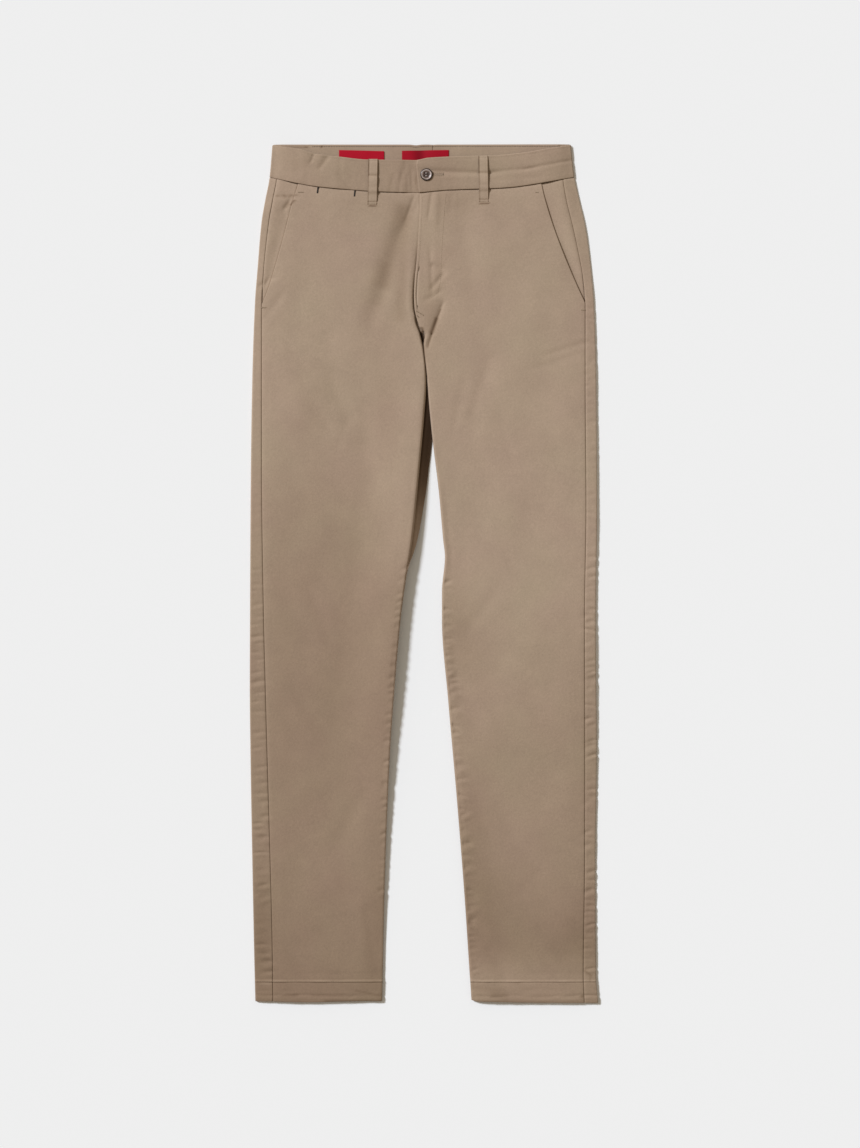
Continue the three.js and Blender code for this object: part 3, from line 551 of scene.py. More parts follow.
def top_at(leg, x, down, cloth):
    """Middle of the upper wall: the solids' own form."""
    calm = smooth(225, 245, down) * fall(4, FOLD_MARGIN, from_inseam(leg, x, down))
    calm = np.maximum(calm, 0.8 * fall(0, 28, down - WAIST(x)))
    height = PANEL_TOP + (cloth - CLOTH) / 2 + fold_height(FOLDS, x, down) * (1 - calm)
    height = height - PRESSED(down) * pressed_at(leg, x, down)
    height = height - 1.3 * smooth(*LOW_EASE, down) * fall(0, 30, from_inseam(leg, x, down))
    return height + waist_rise(leg, x, down) + lift_at(leg, x, down)


def floor_at(leg, x, down, cloth):
    return cloth / 2 + waist_rise(leg, x, down) + lift_at(leg, x, down)


def back_down(x, row):
    """Where a row of the cut lies, with the hem's waver."""
    drop = np.where(x > 0, mix(-0.6, 1.4, (x - 59) / 159), -0.5)
    wave = 1.0 * bump(x, -146, 26) - 0.6 * bump(x, -70, 20) - 1.8 * bump(x, 59, 4.5) + 0.5 * bump(x, 130, 40)
    return row + SEAM_HALF + (drop + wave) * smooth(HEM_TOP - 68, HEM_DOWN, row)


def front_down(x, row):
    """The same for the fronts, which also dip to the waist seam."""
    return back_down(x, row) + (WAIST(x) - WAIST_DOWN) * fall(WAIST_DOWN, DIP_END, row)


def fly_offset(leg, x, row):
    return FLY_RAISE * fall(228, 254, row) * fall(12, 22, x) if leg.side > 0 else 0.0


def front_outer(leg, row):
    """A front's outer edge: the slanted pocket, then the side seam."""
    seam = leg.seam(row) - leg.side * SEAM_HALF
    slant = leg.pocket(front_down(leg.pocket(row), row))
    slant = leg.side * np.minimum(leg.side * slant, leg.side * seam)
    return np.where(row >= POCKET_END, seam, slant)


def steps_between(start, end, pitch):
    """Positions from start to end, crowded at both ends so that the edges turn round."""
    count = max(2, int(round((end - start - 2 * MARGIN[-1]) / pitch)))
    middle = np.linspace(start + MARGIN[-1], end - MARGIN[-1], count)
    return np.concatenate([start + MARGIN[:-1], middle, end - MARGIN[-2::-1]])


def panel_rows(pitch):
    fine = steps_between(WAIST_DOWN, HEM_DOWN, pitch)
    near_hem = np.linspace(HEM_TOP - 4.5, HEM_TOP + 2.5, 15)
    kept = fine[(fine < near_hem[0] - 0.3) | (fine > near_hem[-1] + 0.3)]
    return np.sort(np.concatenate([kept, near_hem]))[:, None]


def join(*parts):
    """Grids side by side. A part with a single row serves all rows."""
    rows = max(len(np.atleast_2d(part)) for part in parts)
    return np.concatenate([np.broadcast_to(part, (rows, np.shape(part)[-1])) for part in parts], axis=1)


def distance_along(x, z):
    step = np.hypot(np.diff(x, axis=1), np.diff(z, axis=1))
    return join(0 * x[:, :1], np.cumsum(step, axis=1))


def turned(*distances):
    """Share of the full thickness at these distances from turned edges."""
    share = 1.0
    for distance in distances:
        t = 1 - np.clip(distance / EDGE_ROUND, 0.0, 1.0)
        share = share * np.sqrt(np.clip(1 - t * t, 0.02, 1.0))
    return share


def seam_valley(distance, depth, width):
    """How far a sewn edge is pulled down at its seam."""
    return -depth * bump(distance, 0, width)


def end_valleys(rows):
    """The pull at the waist seam and at the hem's edge."""
    return seam_valley(rows - rows[0], 0.55, 1.5), seam_valley(rows[-1] - rows, 0.6, 1.3)


def side_valley(leg, distance, down):
    """The side seam's dip: fine on the left leg, and nearly gone low on the right leg."""
    if leg.side > 0:
        return seam_valley(distance, 0.5, 1.0)
    return seam_valley(distance, 0.5, 1.1) * (1 - 0.6 * smooth(800, 900, down))


def tone_at(leg, x, down):
    """How much the cloth is darkened from its fullest colour by painted light and shade: the painted falloff
    towards the hems, painted patches and strokes, and the hem's painted highlight and shadow line.
    """
    tone = leg.tone(down)
    for middle, at, across, along, change in PAINTED_LIGHT_AND_SHADE_PATCHES:
        if middle * leg.side > 0:
            tone = tone + change * bump(x, middle, across) * bump(down, at, along)
    tone = tone + fold_height(PAINTED_LIGHT_AND_SHADE_STROKES, x, down, 0.06)
    # Painted highlight on the ridge above the hem's stitching and painted shadow in its groove, unevenly broken
    uneven = 0.6 + 0.5 * soft_noise(x, 0, 11, 91)
    tone = tone + (0.12 * bump(down, HEM_TOP - 1.5, 1.0) - 0.26 * bump(down, HEM_TOP + 0.5, 0.7)) * uneven
    return np.clip(1 - tone, -0.3, 0.95)


def inner_curl(rows, length, shown=0.0):
    """The inner edge's round turn: its extent, angles, and steps across and down along it."""
    angle = CURL_ANGLE * smooth(226, 262, rows) * fall(0, 4, shown) * (1 - 0.5 * smooth(*LOW_EASE, rows))
    bent = angle > 0.01
    radius = np.where(bent, length / np.where(bent, angle, 1.0), 0.0)
    extent = np.where(bent, (radius + cloth_at(rows) / 2) * np.sin(angle), length)
    turn = angle * CURL_SHARES
    across = np.where(bent, radius * np.sin(turn), length * CURL_SHARES)
    return extent, turn, across, radius * (1 - np.cos(turn))


def front_grid(leg):
    rows = panel_rows(FRONT_PITCH)
    outer = front_outer(leg, rows)
    fly_edge = LEFT.inner(rows)
    length = CURL_LENGTH + 0 * rows
    if leg.side < 0:
        lap = np.clip((leg.inner(rows) + 10.8) / (UNDERLAP_X + 10.8), 0, 1) * (rows < 222)
        length = mix(CURL_LENGTH, UNDERLAP_X - (fly_edge - 7), lap)
    extent, turn, bend_x, bend_z = inner_curl(rows, length)
    inward = -leg.side
    knee = leg.inner(rows) - inward * extent
    start = outer + inward * MARGIN
    coarse = np.linspace(0, 1 - INNER_SHARE, OUTER_COLUMNS + 1)[1:]
    fine = np.linspace(1 - INNER_SHARE, 1, INNER_COLUMNS + 1)[1:]
    x_flat = join(start, mix(start[:, -1:], knee, np.concatenate([coarse, fine])))
    x = join(x_flat, knee + inward * bend_x)
    down = front_down(x, rows)
    cloth = cloth_at(rows)
    from_outer = (x - outer) * inward
    sewn = smooth(POCKET_END - 4, POCKET_END + 4, rows)
    at_waist, at_hem = end_valleys(rows)
    z = top_at(leg, x, down, cloth) + relief(leg, x, down) + fly_offset(leg, x, rows)
    z = z + at_hem - join(0 * x_flat, bend_z)
    # Painted shade along the side seam below the pocket
    tone = tone_at(leg, x, down) + 0.2 * bump(from_outer, 0, 0.6) * sewn
    if leg.side < 0:
        depth = FLY_DROP * (0.3 + 0.7 * smooth(112, 150, rows)) * fall(FLY_END, 236, rows)
        z = z - depth * smooth(-2.6, -0.3, x - fly_edge)
        # Painted light on the turn of the rolled inner edge, low on the right leg
        painted_turn_light = join(0 * x_flat, np.sin(turn)) * smooth(520, 720, rows)
        tone = tone - 0.5 * painted_turn_light * (1 - tone)
    z = z + at_waist + side_valley(leg, from_outer, rows) * sewn
    from_inner = join(0 * x_flat + 99, length * (1 - CURL_SHARES))
    return {
        "x": x,
        "down": down,
        "z": z,
        "nx": join(0 * x_flat, inward * np.sin(turn)),
        "nz": join(0 * x_flat + 1, np.cos(turn)),
        "half": cloth / 2 * turned(from_outer, from_inner, rows - rows[0], rows[-1] - rows),
        "across": from_outer,
        "tone": tone,
    }


def back_grid(leg):
    """From the side seam round the outer fold, along the surface, to the seat or inseam."""
    rows = panel_rows(BACK_PITCH)
    cloth = cloth_at(rows)
    side = leg.side
    fold = leg.fold(rows)
    before_fold = fold - side * 1.5
    top = top_at(leg, before_fold, front_down(fold, rows), cloth)
    floor = floor_at(leg, fold, back_down(fold, rows), cloth)
    radius = (top - floor) / 2
    turn_x = fold - side * (radius + cloth / 2)
    seam = leg.seam(rows) + side * SEAM_HALF
    margin = np.minimum(MARGIN / ((turn_x - seam) * side), 0.6)
    x_strip = mix(seam, turn_x, join(margin, mix(margin[:, -1:], 1.0, np.linspace(0, 1, 7)[1:-1])))
    down_strip = front_down(x_strip, rows)
    sewn = 0.4 + 0.6 * smooth(POCKET_END - 20, POCKET_END + 10, rows)
    z_strip = top_at(leg, side * np.minimum(side * x_strip, side * before_fold), down_strip, cloth)
    z_strip = z_strip + relief(leg, x_strip, down_strip)
    z_strip = z_strip + side_valley(leg, side * (x_strip - seam), rows) * sewn
    ease = 0.5 + 0.5 * np.cos(TURNS)
    fade = ease**0.7
    x_fold = turn_x + side * radius * np.sin(TURNS)
    down_fold = mix(front_down(x_fold, rows), back_down(x_fold, rows), TURNS / math.pi)
    z_fold = mix(floor, top, ease) + relief(leg, turn_x, down_fold) * fade
    shown = 0 * rows
    if side < 0:
        # Extra reach under the gap between the legs, darkened there as painted shade
        extra = 1.6 * smooth(236, 246, rows) * fall(262, 290, rows) + 0.9 * smooth(262, 300, rows)
        shown = SHOWN(rows) + extra * fall(385, 410, rows)
    extent, turn, bend_x, bend_z = inner_curl(rows, CURL_LENGTH + shown, shown)
    seat = SEAT(rows) + side * SEAM_HALF
    edge = mix(seat, leg.inner(np.maximum(rows, BACK_INSEAM_TOP)), smooth(235, 262, rows))
    knee = edge - side * (shown - extent)
    x_floor = mix(turn_x, knee, np.linspace(0, 1, BACK_COLUMNS + 1)[1:])
    x_under = join(x_floor, knee - side * bend_x)
    down_under = back_down(x_under, rows)
    z_under = floor_at(leg, x_under, down_under, cloth) + join(0 * x_floor, bend_z)
    x = join(x_strip, x_fold, x_under)
    down = join(down_strip, down_fold, down_under)
    z = join(z_strip, z_fold, z_under)
    z = z + sum(end_valleys(rows)) * join(0 * x_strip + 1, fade, 0 * x_under)
    across = distance_along(x, z)
    past_front = smooth(-6, 0, -side * (x - leg.inner(np.maximum(rows, BACK_INSEAM_TOP))))
    # Painted shade along the side seam
    tone = tone_at(leg, x, down) + 0.2 * bump(across, 0, 0.6)
    # Painted shade on the right back where it shows past the front's inseam, for the deep shadow between the legs
    tone = mix(tone, np.maximum(tone, SHOWN_SHADE(rows)), past_front * (side < 0) * smooth(232, 240, rows))
    # Painted light on the outer fold's turn, mostly on the left leg
    painted_turn_light = join(0 * x_strip, np.sin(TURNS), 0 * x_under) * (0.45 if side > 0 else 0.1)
    return {
        "x": x,
        "down": down,
        "z": z,
        "nx": join(0 * x_strip, side * np.sin(TURNS), 0 * x_floor, -side * np.sin(turn)),
        "nz": join(0 * x_strip + 1, np.cos(TURNS), 0 * x_floor - 1, -np.cos(turn)),
        "half": cloth / 2 * turned(across, across[:, -1:] - across, rows - rows[0], rows[-1] - rows),
        "across": across,
        "tone": tone - painted_turn_light * (1 - tone),
    }


def facing_grid(leg):
    """Pocket facing: level with the back at the side seam, tucked under the slanted edge."""
    rows = steps_between(WAIST_DOWN, FACING_END, 2.4)[:, None]
    seam = leg.seam(rows) - leg.side * SEAM_HALF
    slant = front_outer(leg, rows)
    tucked = slant - leg.side * FACING_UNDER
    drop = mix(1.35, FACING_DROP + (0.5 if leg.side > 0 else 0.0), smooth(58, 84, rows))
    margin = MARGIN / np.maximum(np.abs(tucked - seam), 1)
    x = mix(seam, tucked, join(margin, mix(margin[:, -1:], 1.0, np.linspace(0, 1, 22)[1:])))
    down = front_down(x, rows)
    beyond = leg.side * (x - slant)
    raised = drop * smooth(0.1, 0.9, np.maximum(beyond, 0) / np.maximum(np.abs(seam - slant), 20))
    creases = fold_height(CREASES, x, down, 0.3) * smooth(0, 3, rows - rows[0])
    small = 0.18 * soft_noise(x, down, 12, 41, 1.4) + 0.25 * soft_noise(x, down, 26, 42, 1.2)
    from_seam = np.abs(x - seam)
    z = top_at(leg, x, down, CLOTH) - drop + raised
    z = z + (creases + small) * smooth(0, 5, from_seam) * smooth(0, 5, beyond)
    # Painted shadow under the right pocket's slanted edge; the strokes below add painted shade in its crumples
    under_edge = (0.3 if leg.side < 0 else 0.0) * bump(beyond, 0.2, 0.9)
    return {
        "x": x,
        "down": down,
        "z": z + seam_valley(from_seam, 0.45, 1.3) + end_valleys(rows)[0],
        "half": CLOTH / 2 * turned(from_seam, rows - rows[0], rows[-1] - rows, np.abs(x - tucked)),
        "across": from_seam,
        "tone": np.clip(under_edge - fold_height(PAINTED_LIGHT_AND_SHADE_STROKES, x, down, 0.06), 0, 0.8),
    }


def make_shell(name, x, down, z, half, across, nx=0, nz=1, tone=0.0):
    """Closed shell through a grid of wall middles, with round edges and UVs in centimetres."""
    x, down, z, half, across, tone = np.broadcast_arrays(x, down, z, half, across, tone)
    middle = np.stack([x, MIDDLE_DOWN - down, z], axis=2)
    normal = np.cross(np.gradient(middle, axis=1), np.gradient(middle, axis=0))
    normal /= np.maximum(np.linalg.norm(normal, axis=2, keepdims=True), 1e-9)
    outward = normal[:, :, 0] * nx + normal[:, :, 2] * nz
    normal *= np.where(outward < 0, -1.0, 1.0)[:, :, None]
    outer = middle + normal * half[:, :, None]
    inner = middle - normal * half[:, :, None]
    rows, columns = x.shape
    points = np.concatenate([outer.reshape(-1, 3), inner.reshape(-1, 3)]) * MM
    index = np.arange(rows * columns).reshape(rows, columns)
    corners = [index[:-1, :-1], index[:-1, 1:], index[1:, 1:], index[1:, :-1]]
    face_outer = np.stack(corners, axis=2).reshape(-1, 4)
    under = rows * columns
    rim = np.concatenate([index[0, :], index[1:, -1], index[-1, -2::-1], index[-2:0:-1, 0]])
    after = np.roll(rim, -1)
    face_rim = np.stack([after, rim, rim + under, after + under], axis=1)
    faces = np.concatenate([face_outer, face_outer[:, ::-1] + under, face_rim])
    k = (rows // 2, columns // 3)
    facing = np.cross(outer[k[0], k[1] + 1] - outer[k], outer[k[0] + 1, k[1]] - outer[k])
    if np.dot(facing, normal[k]) < 0:
        faces = faces[:, ::-1]
    uv = np.stack([across, down], axis=2).reshape(-1, 2) * 0.1
    return mesh_object(name, points, faces, np.concatenate([uv, uv]), np.concatenate([tone, tone], axis=None))


def mesh_object(name, points, faces, uv=None, tone=None):
    mesh = bpy.data.meshes.new(name)
    count, corners = faces.shape
    mesh.vertices.add(len(points))
    mesh.vertices.foreach_set("co", np.ascontiguousarray(points, np.float32).ravel())
    mesh.loops.add(count * corners)
    mesh.loops.foreach_set("vertex_index", np.ascontiguousarray(faces, np.int32).ravel())
    mesh.polygons.add(count)
    mesh.polygons.foreach_set("loop_start", np.arange(0, count * corners, corners, dtype=np.int32))
    mesh.polygons.foreach_set("use_smooth", np.ones(count, bool))
    mesh.update(calc_edges=True)
    if uv is not None:
        layer = mesh.uv_layers.new(name="cloth")
        layer.data.foreach_set("uv", np.ascontiguousarray(uv[faces.ravel()], np.float32).ravel())
    if tone is not None:
        # Painted light and shade per point, read by the materials
        shade = mesh.attributes.new("shade", "FLOAT", "POINT")
        shade.data.foreach_set("value", np.ascontiguousarray(tone, np.float32))
    mesh.validate()
    return add_object(name, mesh)


def add_object(name, data):
    piece = bpy.data.objects.new(name, data)
    bpy.context.scene.collection.objects.link(piece)
    return piece


def place(piece, material, slot, *nodes):
    piece.data.materials.append(material)
    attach(piece, "root")
    if nodes:
        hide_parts(*nodes)


def band_top_at(leg, x, down):
    base = BAND_TOP - WAIST_RISE + waist_rise(leg, x, 0 * down)
    base = base + fold_height(BAND_FOLDS, x, down) - BAND_PRESS * pressed_at(leg, x, down)
    if leg.side > 0:
        return base + FLY_RAISE * fall(12, 24, x)
    return base - BAND_DROP * smooth(-32, -10, x)


def band_relief(x, down):
    height = down - BAND_TOP_EDGE(x)
    room = np.maximum(WAIST(x) - BAND_TOP_EDGE(x), 1)
    gathers = 0.16 * soft_noise(x, down, 6, 71, 5) * smooth(0.45, 0.85, height / room)
    broad = 0.42 * soft_noise(x, down, 26, 72, 1.2) + 0.13 * soft_noise(x, down, 9, 73, 1.4)
    return fold_height(BAND_CREASES, x, down, 0.2) + gathers + broad - 0.16 * bump(height, 3.0, 1.0)


def back_wave(x):
    """The back edge is nicked beside the seat seam and runs a little low at the left side."""
    return 0.9 * bump(x, -10, 5) + 0.3 * bump(x, 11, 3) - 0.3 * smooth(20, 180, x)


def band_grid(leg):
    """Waistband half: front end, round the side fold, along the back to the seat seam."""
    share = steps_between(0.0, BAND_HEIGHT, 1.3)[:, None] / BAND_HEIGHT
    middle = mix(BAND_BACK_EDGE, WAIST_DOWN, share)
    side = leg.side
    end = BAND_END(mix(20, 60, share)) if side > 0 else UNDERLAP_X + 0 * share
    lowest = BAND_CLOTH / 2
    radius = (BAND_TOP - BAND_PRESS - WAIST_RISE - lowest) / 2
    turn_x = leg.fold(middle) - side * (radius + BAND_CLOTH / 2)
    front_at = lambda x: mix(BAND_TOP_EDGE(x), WAIST(x) - SEAM_HALF, share)
    back_at = lambda x: mix(BAND_BACK_EDGE + back_wave(x), WAIST_DOWN - SEAM_HALF, share)
    x_start = end + side * MARGIN
    x_front = join(x_start, mix(x_start[:, -1:], turn_x, np.linspace(0, 1, 110)[1:]))
    down_front = front_at(x_front)
    z_front = band_top_at(leg, x_front, down_front) + band_relief(x_front, down_front)
    turns = TURNS[1:]
    ease = 0.5 + 0.5 * np.cos(turns)
    x_fold = turn_x + side * radius * np.sin(turns)
    down_fold = mix(front_at(x_fold), back_at(x_fold), turns / math.pi)
    z_fold = mix(lowest, z_front[:, -1:], ease)
    seat = SEAT(middle) + side * SEAM_HALF
    x_back = mix(turn_x, seat + side * MARGIN[-1], np.linspace(0, 1, 90)[1:])
    x_back = join(x_back, seat + side * MARGIN[-2::-1])
    down_back = back_at(x_back)
    inside = smooth(0, 20, side * (turn_x - x_back)) * smooth(0, 6, down_back - BAND_BACK_EDGE)
    uneven = 0.3 * soft_noise(x_back, down_back, 17, 74) * inside * (share < 0.9)
    z_back = lowest + waist_rise(leg, x_back, down_back) + np.maximum(uneven, 0)
    x = join(x_front, x_fold, x_back)
    down = join(down_front, down_fold, down_back)
    z = join(z_front, z_fold, z_back)
    across = distance_along(x, z)
    rise = share * BAND_HEIGHT
    upper = join(0 * x_front + 1, ease, 0 * x_back)
    # The bands sit BAND_TONE darker, the front face more towards its middle and under the painted strokes; inside
    # the back, painted shade in its folds, beside the loops and about the seat seam
    tone = BAND_TONE + 0.07 * bump(x, -25, 65) * upper - fold_height(PAINTED_LIGHT_AND_SHADE_STROKES, x, down, 0.06) * upper
    tone = tone - (fold_height(INNER_PAINTED_SHADE_STROKES, x, down, 0.1) - 0.10 * bump(x, -4, 22)) * (1 - upper)
    return {
        "x": x,
        "down": down,
        "z": z + seam_valley(BAND_HEIGHT - rise, 0.35, 2.2) * upper,
        "nx": join(0 * x_front, side * np.sin(turns), 0 * x_back),
        "nz": join(0 * x_front + 1, np.cos(turns), 0 * x_back - 1),
        "half": BAND_CLOTH / 2 * turned(across, across[:, -1:] - across, rise / 1.6, BAND_HEIGHT - rise),
        "across": down,
        "tone": np.clip(tone, -0.3, 0.9),
    }


def face_height(x, down):
    """Height of the upper face of the fronts, or of the band above the waist seam."""
    x = np.asarray(x, float)
    down = np.asarray(down, float)
    height = 0 * x
    for leg in (RIGHT, LEFT):
        left = leg.side > 0
        mine = (x > LEFT.inner(down)) == left
        cloth = cloth_at(down)
        panel = top_at(leg, x, down, cloth) + relief(leg, x, down) + fly_offset(leg, x, down) + cloth / 2
        band = band_top_at(leg, x, down) + band_relief(x, down) + BAND_CLOTH / 2
        height = np.where((down >= WAIST(x)) & mine, panel, height)
        height = np.where((down < WAIST(x)) & ((x > -8) == left), band, height)
    return height


def front_loop_grid(x_middle, start, end):
    """Belt loop over the band: slack, pinched and dimpled, and tacked down at both ends."""
    leg = LEFT if x_middle > 0 else RIGHT
    seam = float(WAIST(x_middle))
    down = steps_between(start, end, 1.1)[:, None]
    across = steps_between(-LOOP_WIDTH / 2, LOOP_WIDTH / 2, 0.6)
    share = (down - start) / (end - start)
    along = lambda t: mix(start, end, t)
    x = x_middle + across + (1.0 if leg.side > 0 else -1.2) * share
    band = band_top_at(leg, x, np.minimum(down, seam)) + BAND_CLOTH / 2
    panel = top_at(leg, x, down, CLOTH) + CLOTH / 2
    z = mix(band, panel, smooth(seam - 1.5, seam + 4.5, down)) + 0.15 + LOOP_CLOTH / 2
    z = z + 0.85 * np.sin(math.pi * share) ** 0.8
    z = z - 0.75 * bump(down, along(0.36), 1.6) + 0.3 * bump(down, along(0.44), 2.5)
    z = z - 0.35 * bump(down, along(0.62), 2.4)
    z = z + 0.22 * bump(np.abs(across) / (LOOP_WIDTH / 2), 1.0, 0.22)
    z = z - 0.18 * bump(np.abs(across), LOOP_WIDTH / 2 - 1.9, 0.55)
    z = z - 0.55 * bump(down, start + 2.2, 1.2) - 0.7 * bump(down, end - 3.4, 1.3)
    z = z - 0.9 * fall(0, 2.2, end - down) - 0.6 * fall(0, 1.2, down - start)
    # Painted shade along both long edges, across the tacked lower end and in the pinch, and a little painted
    # light on the bulge below it
    tone = 0.8 * bump(across, -LOOP_WIDTH / 2, 0.9) * (0.45 + 0.55 * bump(down, start + 10, 14))
    tone = tone + 0.45 * bump(across, LOOP_WIDTH / 2, 0.9)
    tone = tone + 0.8 * bump(down, end, 1.1) + 0.18 * bump(down, end - 4.2, 0.8)
    tone = tone + 0.16 * bump(down, along(0.36), 1.2) - 0.06 * bump(down, along(0.46), 2.5)
    edges = (down - start, end - down, across + LOOP_WIDTH / 2, LOOP_WIDTH / 2 - across)
    half = LOOP_CLOTH / 2 * turned(*edges)
    return {"x": x, "down": down, "z": z, "half": half, "across": across, "tone": np.clip(tone, -0.1, 0.8)}


def back_loop_grid(x_middle):
    down = steps_between(BACK_LOOP_FROM, BACK_LOOP_TO, 3.0)[:, None]
    across = steps_between(-LOOP_WIDTH / 2, LOOP_WIDTH / 2, 2.0)
    edges = (down - BACK_LOOP_FROM, BACK_LOOP_TO - down, across + LOOP_WIDTH / 2, LOOP_WIDTH / 2 - across)
    half = LOOP_CLOTH / 2 * turned(*edges)
    return {"x": x_middle + across, "down": down, "z": LOOP_CLOTH / 2, "half": half, "across": across, "nz": -1}


def label_grid(x0, x1, start, end, tilt, dent, tone):
    x = steps_between(x0, x1, 1.4)
    down = steps_between(start, end, 1.4)[:, None]
    share = (x - x0) / (x1 - x0)
    slack = 0.35 * np.sin(math.pi * share) + dent * bump(x, mix(x0, x1, 0.42), 9)
    return {
        "x": x,
        "down": down + tilt * (share - 0.5),
        "z": WAIST_RISE + BAND_CLOTH + GAP + LABEL_CLOTH / 2 + slack + 0.12 * soft_noise(x, down, 9, 81),
        "half": LABEL_CLOTH / 2 * turned(x - x0, x1 - x, down - start, end - down),
        "across": x,
        # Painted shade in the wide label's dent
        "tone": tone - 0.35 * dent * bump(x, mix(x0, x1, 0.36), 7),
    }


def add_cloth(node, material, slot, grid, width, length, *rests_on):
    piece = make_shell(f"{node}_cloth", **grid)
    place(piece, material, slot, node)


def build_cloth(twill, satin):
    panel = (twill, "twill")
    back_loops = ("belt_loop_back_right_cloth", "belt_loop_back_left_cloth")
    for leg in (RIGHT, LEFT):
        back = f"back_{leg.word}_cloth"
        add_cloth(f"front_{leg.word}", *panel, front_grid(leg), 0.27, 1.04, back)
        add_cloth(f"back_{leg.word}", *panel, back_grid(leg), 0.31, 1.04, "floor")
        add_cloth(f"pocket_facing_{leg.word}", *panel, facing_grid(leg), 0.05, 0.165, back)
        add_cloth(f"waistband_{leg.word}", *panel, band_grid(leg), 0.4, 0.045, *back_loops)
    for word, x, start, end in FRONT_LOOPS:
        length = (end - start + 4) * MM
        grid = front_loop_grid(x, start, end)
        add_cloth(f"belt_loop_front_{word}", *panel, grid, LOOP_WIDTH * MM, length, f"waistband_{word}_cloth")
    for word, x in BACK_LOOPS:
        length = (BACK_LOOP_TO - BACK_LOOP_FROM + 0.5) * MM
        add_cloth(f"belt_loop_back_{word}", *panel, back_loop_grid(x), LOOP_WIDTH * MM, length, "floor")
    for word, x0, x1, start, end, *finish in LABELS:
        size = ((x1 - x0 + 1) * MM, (end - start + 1) * MM)
        grid = label_grid(x0, x1, start, end, *finish)
        add_cloth(f"label_{word}", satin, "label_satin", grid, *size, "waistband_right_cloth")


def plain_object(name, points, faces):
    mesh = bpy.data.meshes.new(name)
    mesh.from_pydata((np.array(points) * MM).tolist(), [], faces)
    mesh.update()
    return add_object(name, mesh)


def build_button(horn, thread):
    """A turned disc with a rim and a dish, drilled, and sewn with two bars of thread."""
    turns = 56
    angles = np.linspace(0, 2 * math.pi, turns, endpoint=False)
    points = [(0, 0, BUTTON_PROFILE[0][1])]
    for radius, height in BUTTON_PROFILE:
        points += [(radius * math.cos(angle), radius * math.sin(angle), height) for angle in angles]
    top = 1 + (len(BUTTON_PROFILE) - 1) * turns
    points.append((0, 0, BUTTON_PROFILE[-1][1]))
    faces = []
    for k in range(turns):
        n = (k + 1) % turns
        faces.append((0, 1 + n, 1 + k))
        faces += [(a + k, a + n, a + turns + n, a + turns + k) for a in range(1, top, turns)]
        faces.append((top + k, top + n, len(points) - 1))
    button = plain_object("button_horn", points, faces)
    button.data.polygons.foreach_set("use_smooth", np.ones(len(faces), bool))
    points = []
    faces = []
    for x, y in HOLES:
        base = len(points)
        circle = [
            (x + HOLE_RADIUS * math.cos(angle), y + HOLE_RADIUS * math.sin(angle))
            for angle in np.linspace(0, 2 * math.pi, HOLE_SIDES, endpoint=False)
        ]
        points += [(*corner, height) for height in (-2.0, 5.0) for corner in circle]
        for k in range(HOLE_SIDES):
            n = (k + 1) % HOLE_SIDES
            faces.append((base + k, base + n, base + HOLE_SIDES + n, base + HOLE_SIDES + k))
        faces.append(tuple(range(base + HOLE_SIDES - 1, base - 1, -1)))
        faces.append(tuple(range(base + HOLE_SIDES, base + 2 * HOLE_SIDES)))
    cutter = plain_object("holes", points, faces)
    drill = button.modifiers.new("holes", "BOOLEAN")
    drill.object = cutter
    drill.operation = "DIFFERENCE"
    drill.solver = "EXACT"
    bpy.context.view_layer.update()
    drilled = bpy.data.meshes.new_from_object(button.evaluated_get(bpy.context.evaluated_depsgraph_get()))
    button.modifiers.clear()
    button.data = drilled
    bpy.data.objects.remove(cutter)
    middle = np.array([BUTTON_X, MIDDLE_DOWN - BUTTON_DOWN, float(face_height(BUTTON_X, BUTTON_DOWN)) + GAP])
    button.location = middle * MM
    place(button, horn, "button_horn", "button")
    t = np.linspace(0, 1, 9)
    x = mix(HOLES[0][0], HOLES[2][0], t)
    z = BUTTON_DISH - 1.4 + 2.0 * np.sin(math.pi * t).clip(0) ** 0.45
    strands = [
        middle + np.stack([x, 0 * x + y + offset, z], axis=1)
        for y in (HOLES[0][1], HOLES[1][1])
        for offset in (-0.32, 0.0, 0.32)
    ]
    threads("button_thread", strands, 0.24, thread)


def joined_tubes(paths, radius, sides=6):
    """Closed round tubes along paths, as one mesh."""
    angles = np.linspace(0, 2 * math.pi, sides, endpoint=False)[:, None]
    all_points = []
    all_faces = []
    base = 0
    for path in paths:
        tangent = np.gradient(path, axis=0)
        tangent /= np.maximum(np.linalg.norm(tangent, axis=1, keepdims=True), 1e-9)
        sideways = np.cross(tangent, (0.0, 0.0, 1.0))
        sideways[np.linalg.norm(sideways, axis=1) < 1e-3] = (1.0, 0.0, 0.0)
        sideways /= np.linalg.norm(sideways, axis=1, keepdims=True)
        over = np.cross(sideways, tangent)
        count = len(path)
        size = np.full((count, 1, 1), radius)
        size[[0, -1]] *= 0.45
        ring = np.cos(angles) * sideways[:, None] + np.sin(angles) * over[:, None]
        all_points.append((path[:, None] + size * ring).reshape(-1, 3))
        last = base + (count - 1) * sides
        for a in range(base, last, sides):
            for j in range(sides):
                n = (j + 1) % sides
                all_faces.append((a + j, a + n, a + sides + n, a + sides + j))
        for k in range(sides // 2 - 1):
            all_faces.append((base, base + sides - 1 - k, base + sides - 2 - k, base + sides - 2 - k))
            all_faces.append((last, last + 1 + k, last + 2 + k, last + 2 + k))
        base += count * sides
    return np.concatenate(all_points), np.array(all_faces)


def threads(name, tubes, radius, material):
    points, faces = joined_tubes(tubes, radius)
    place(mesh_object(name, points * MM, faces), material, "twill")


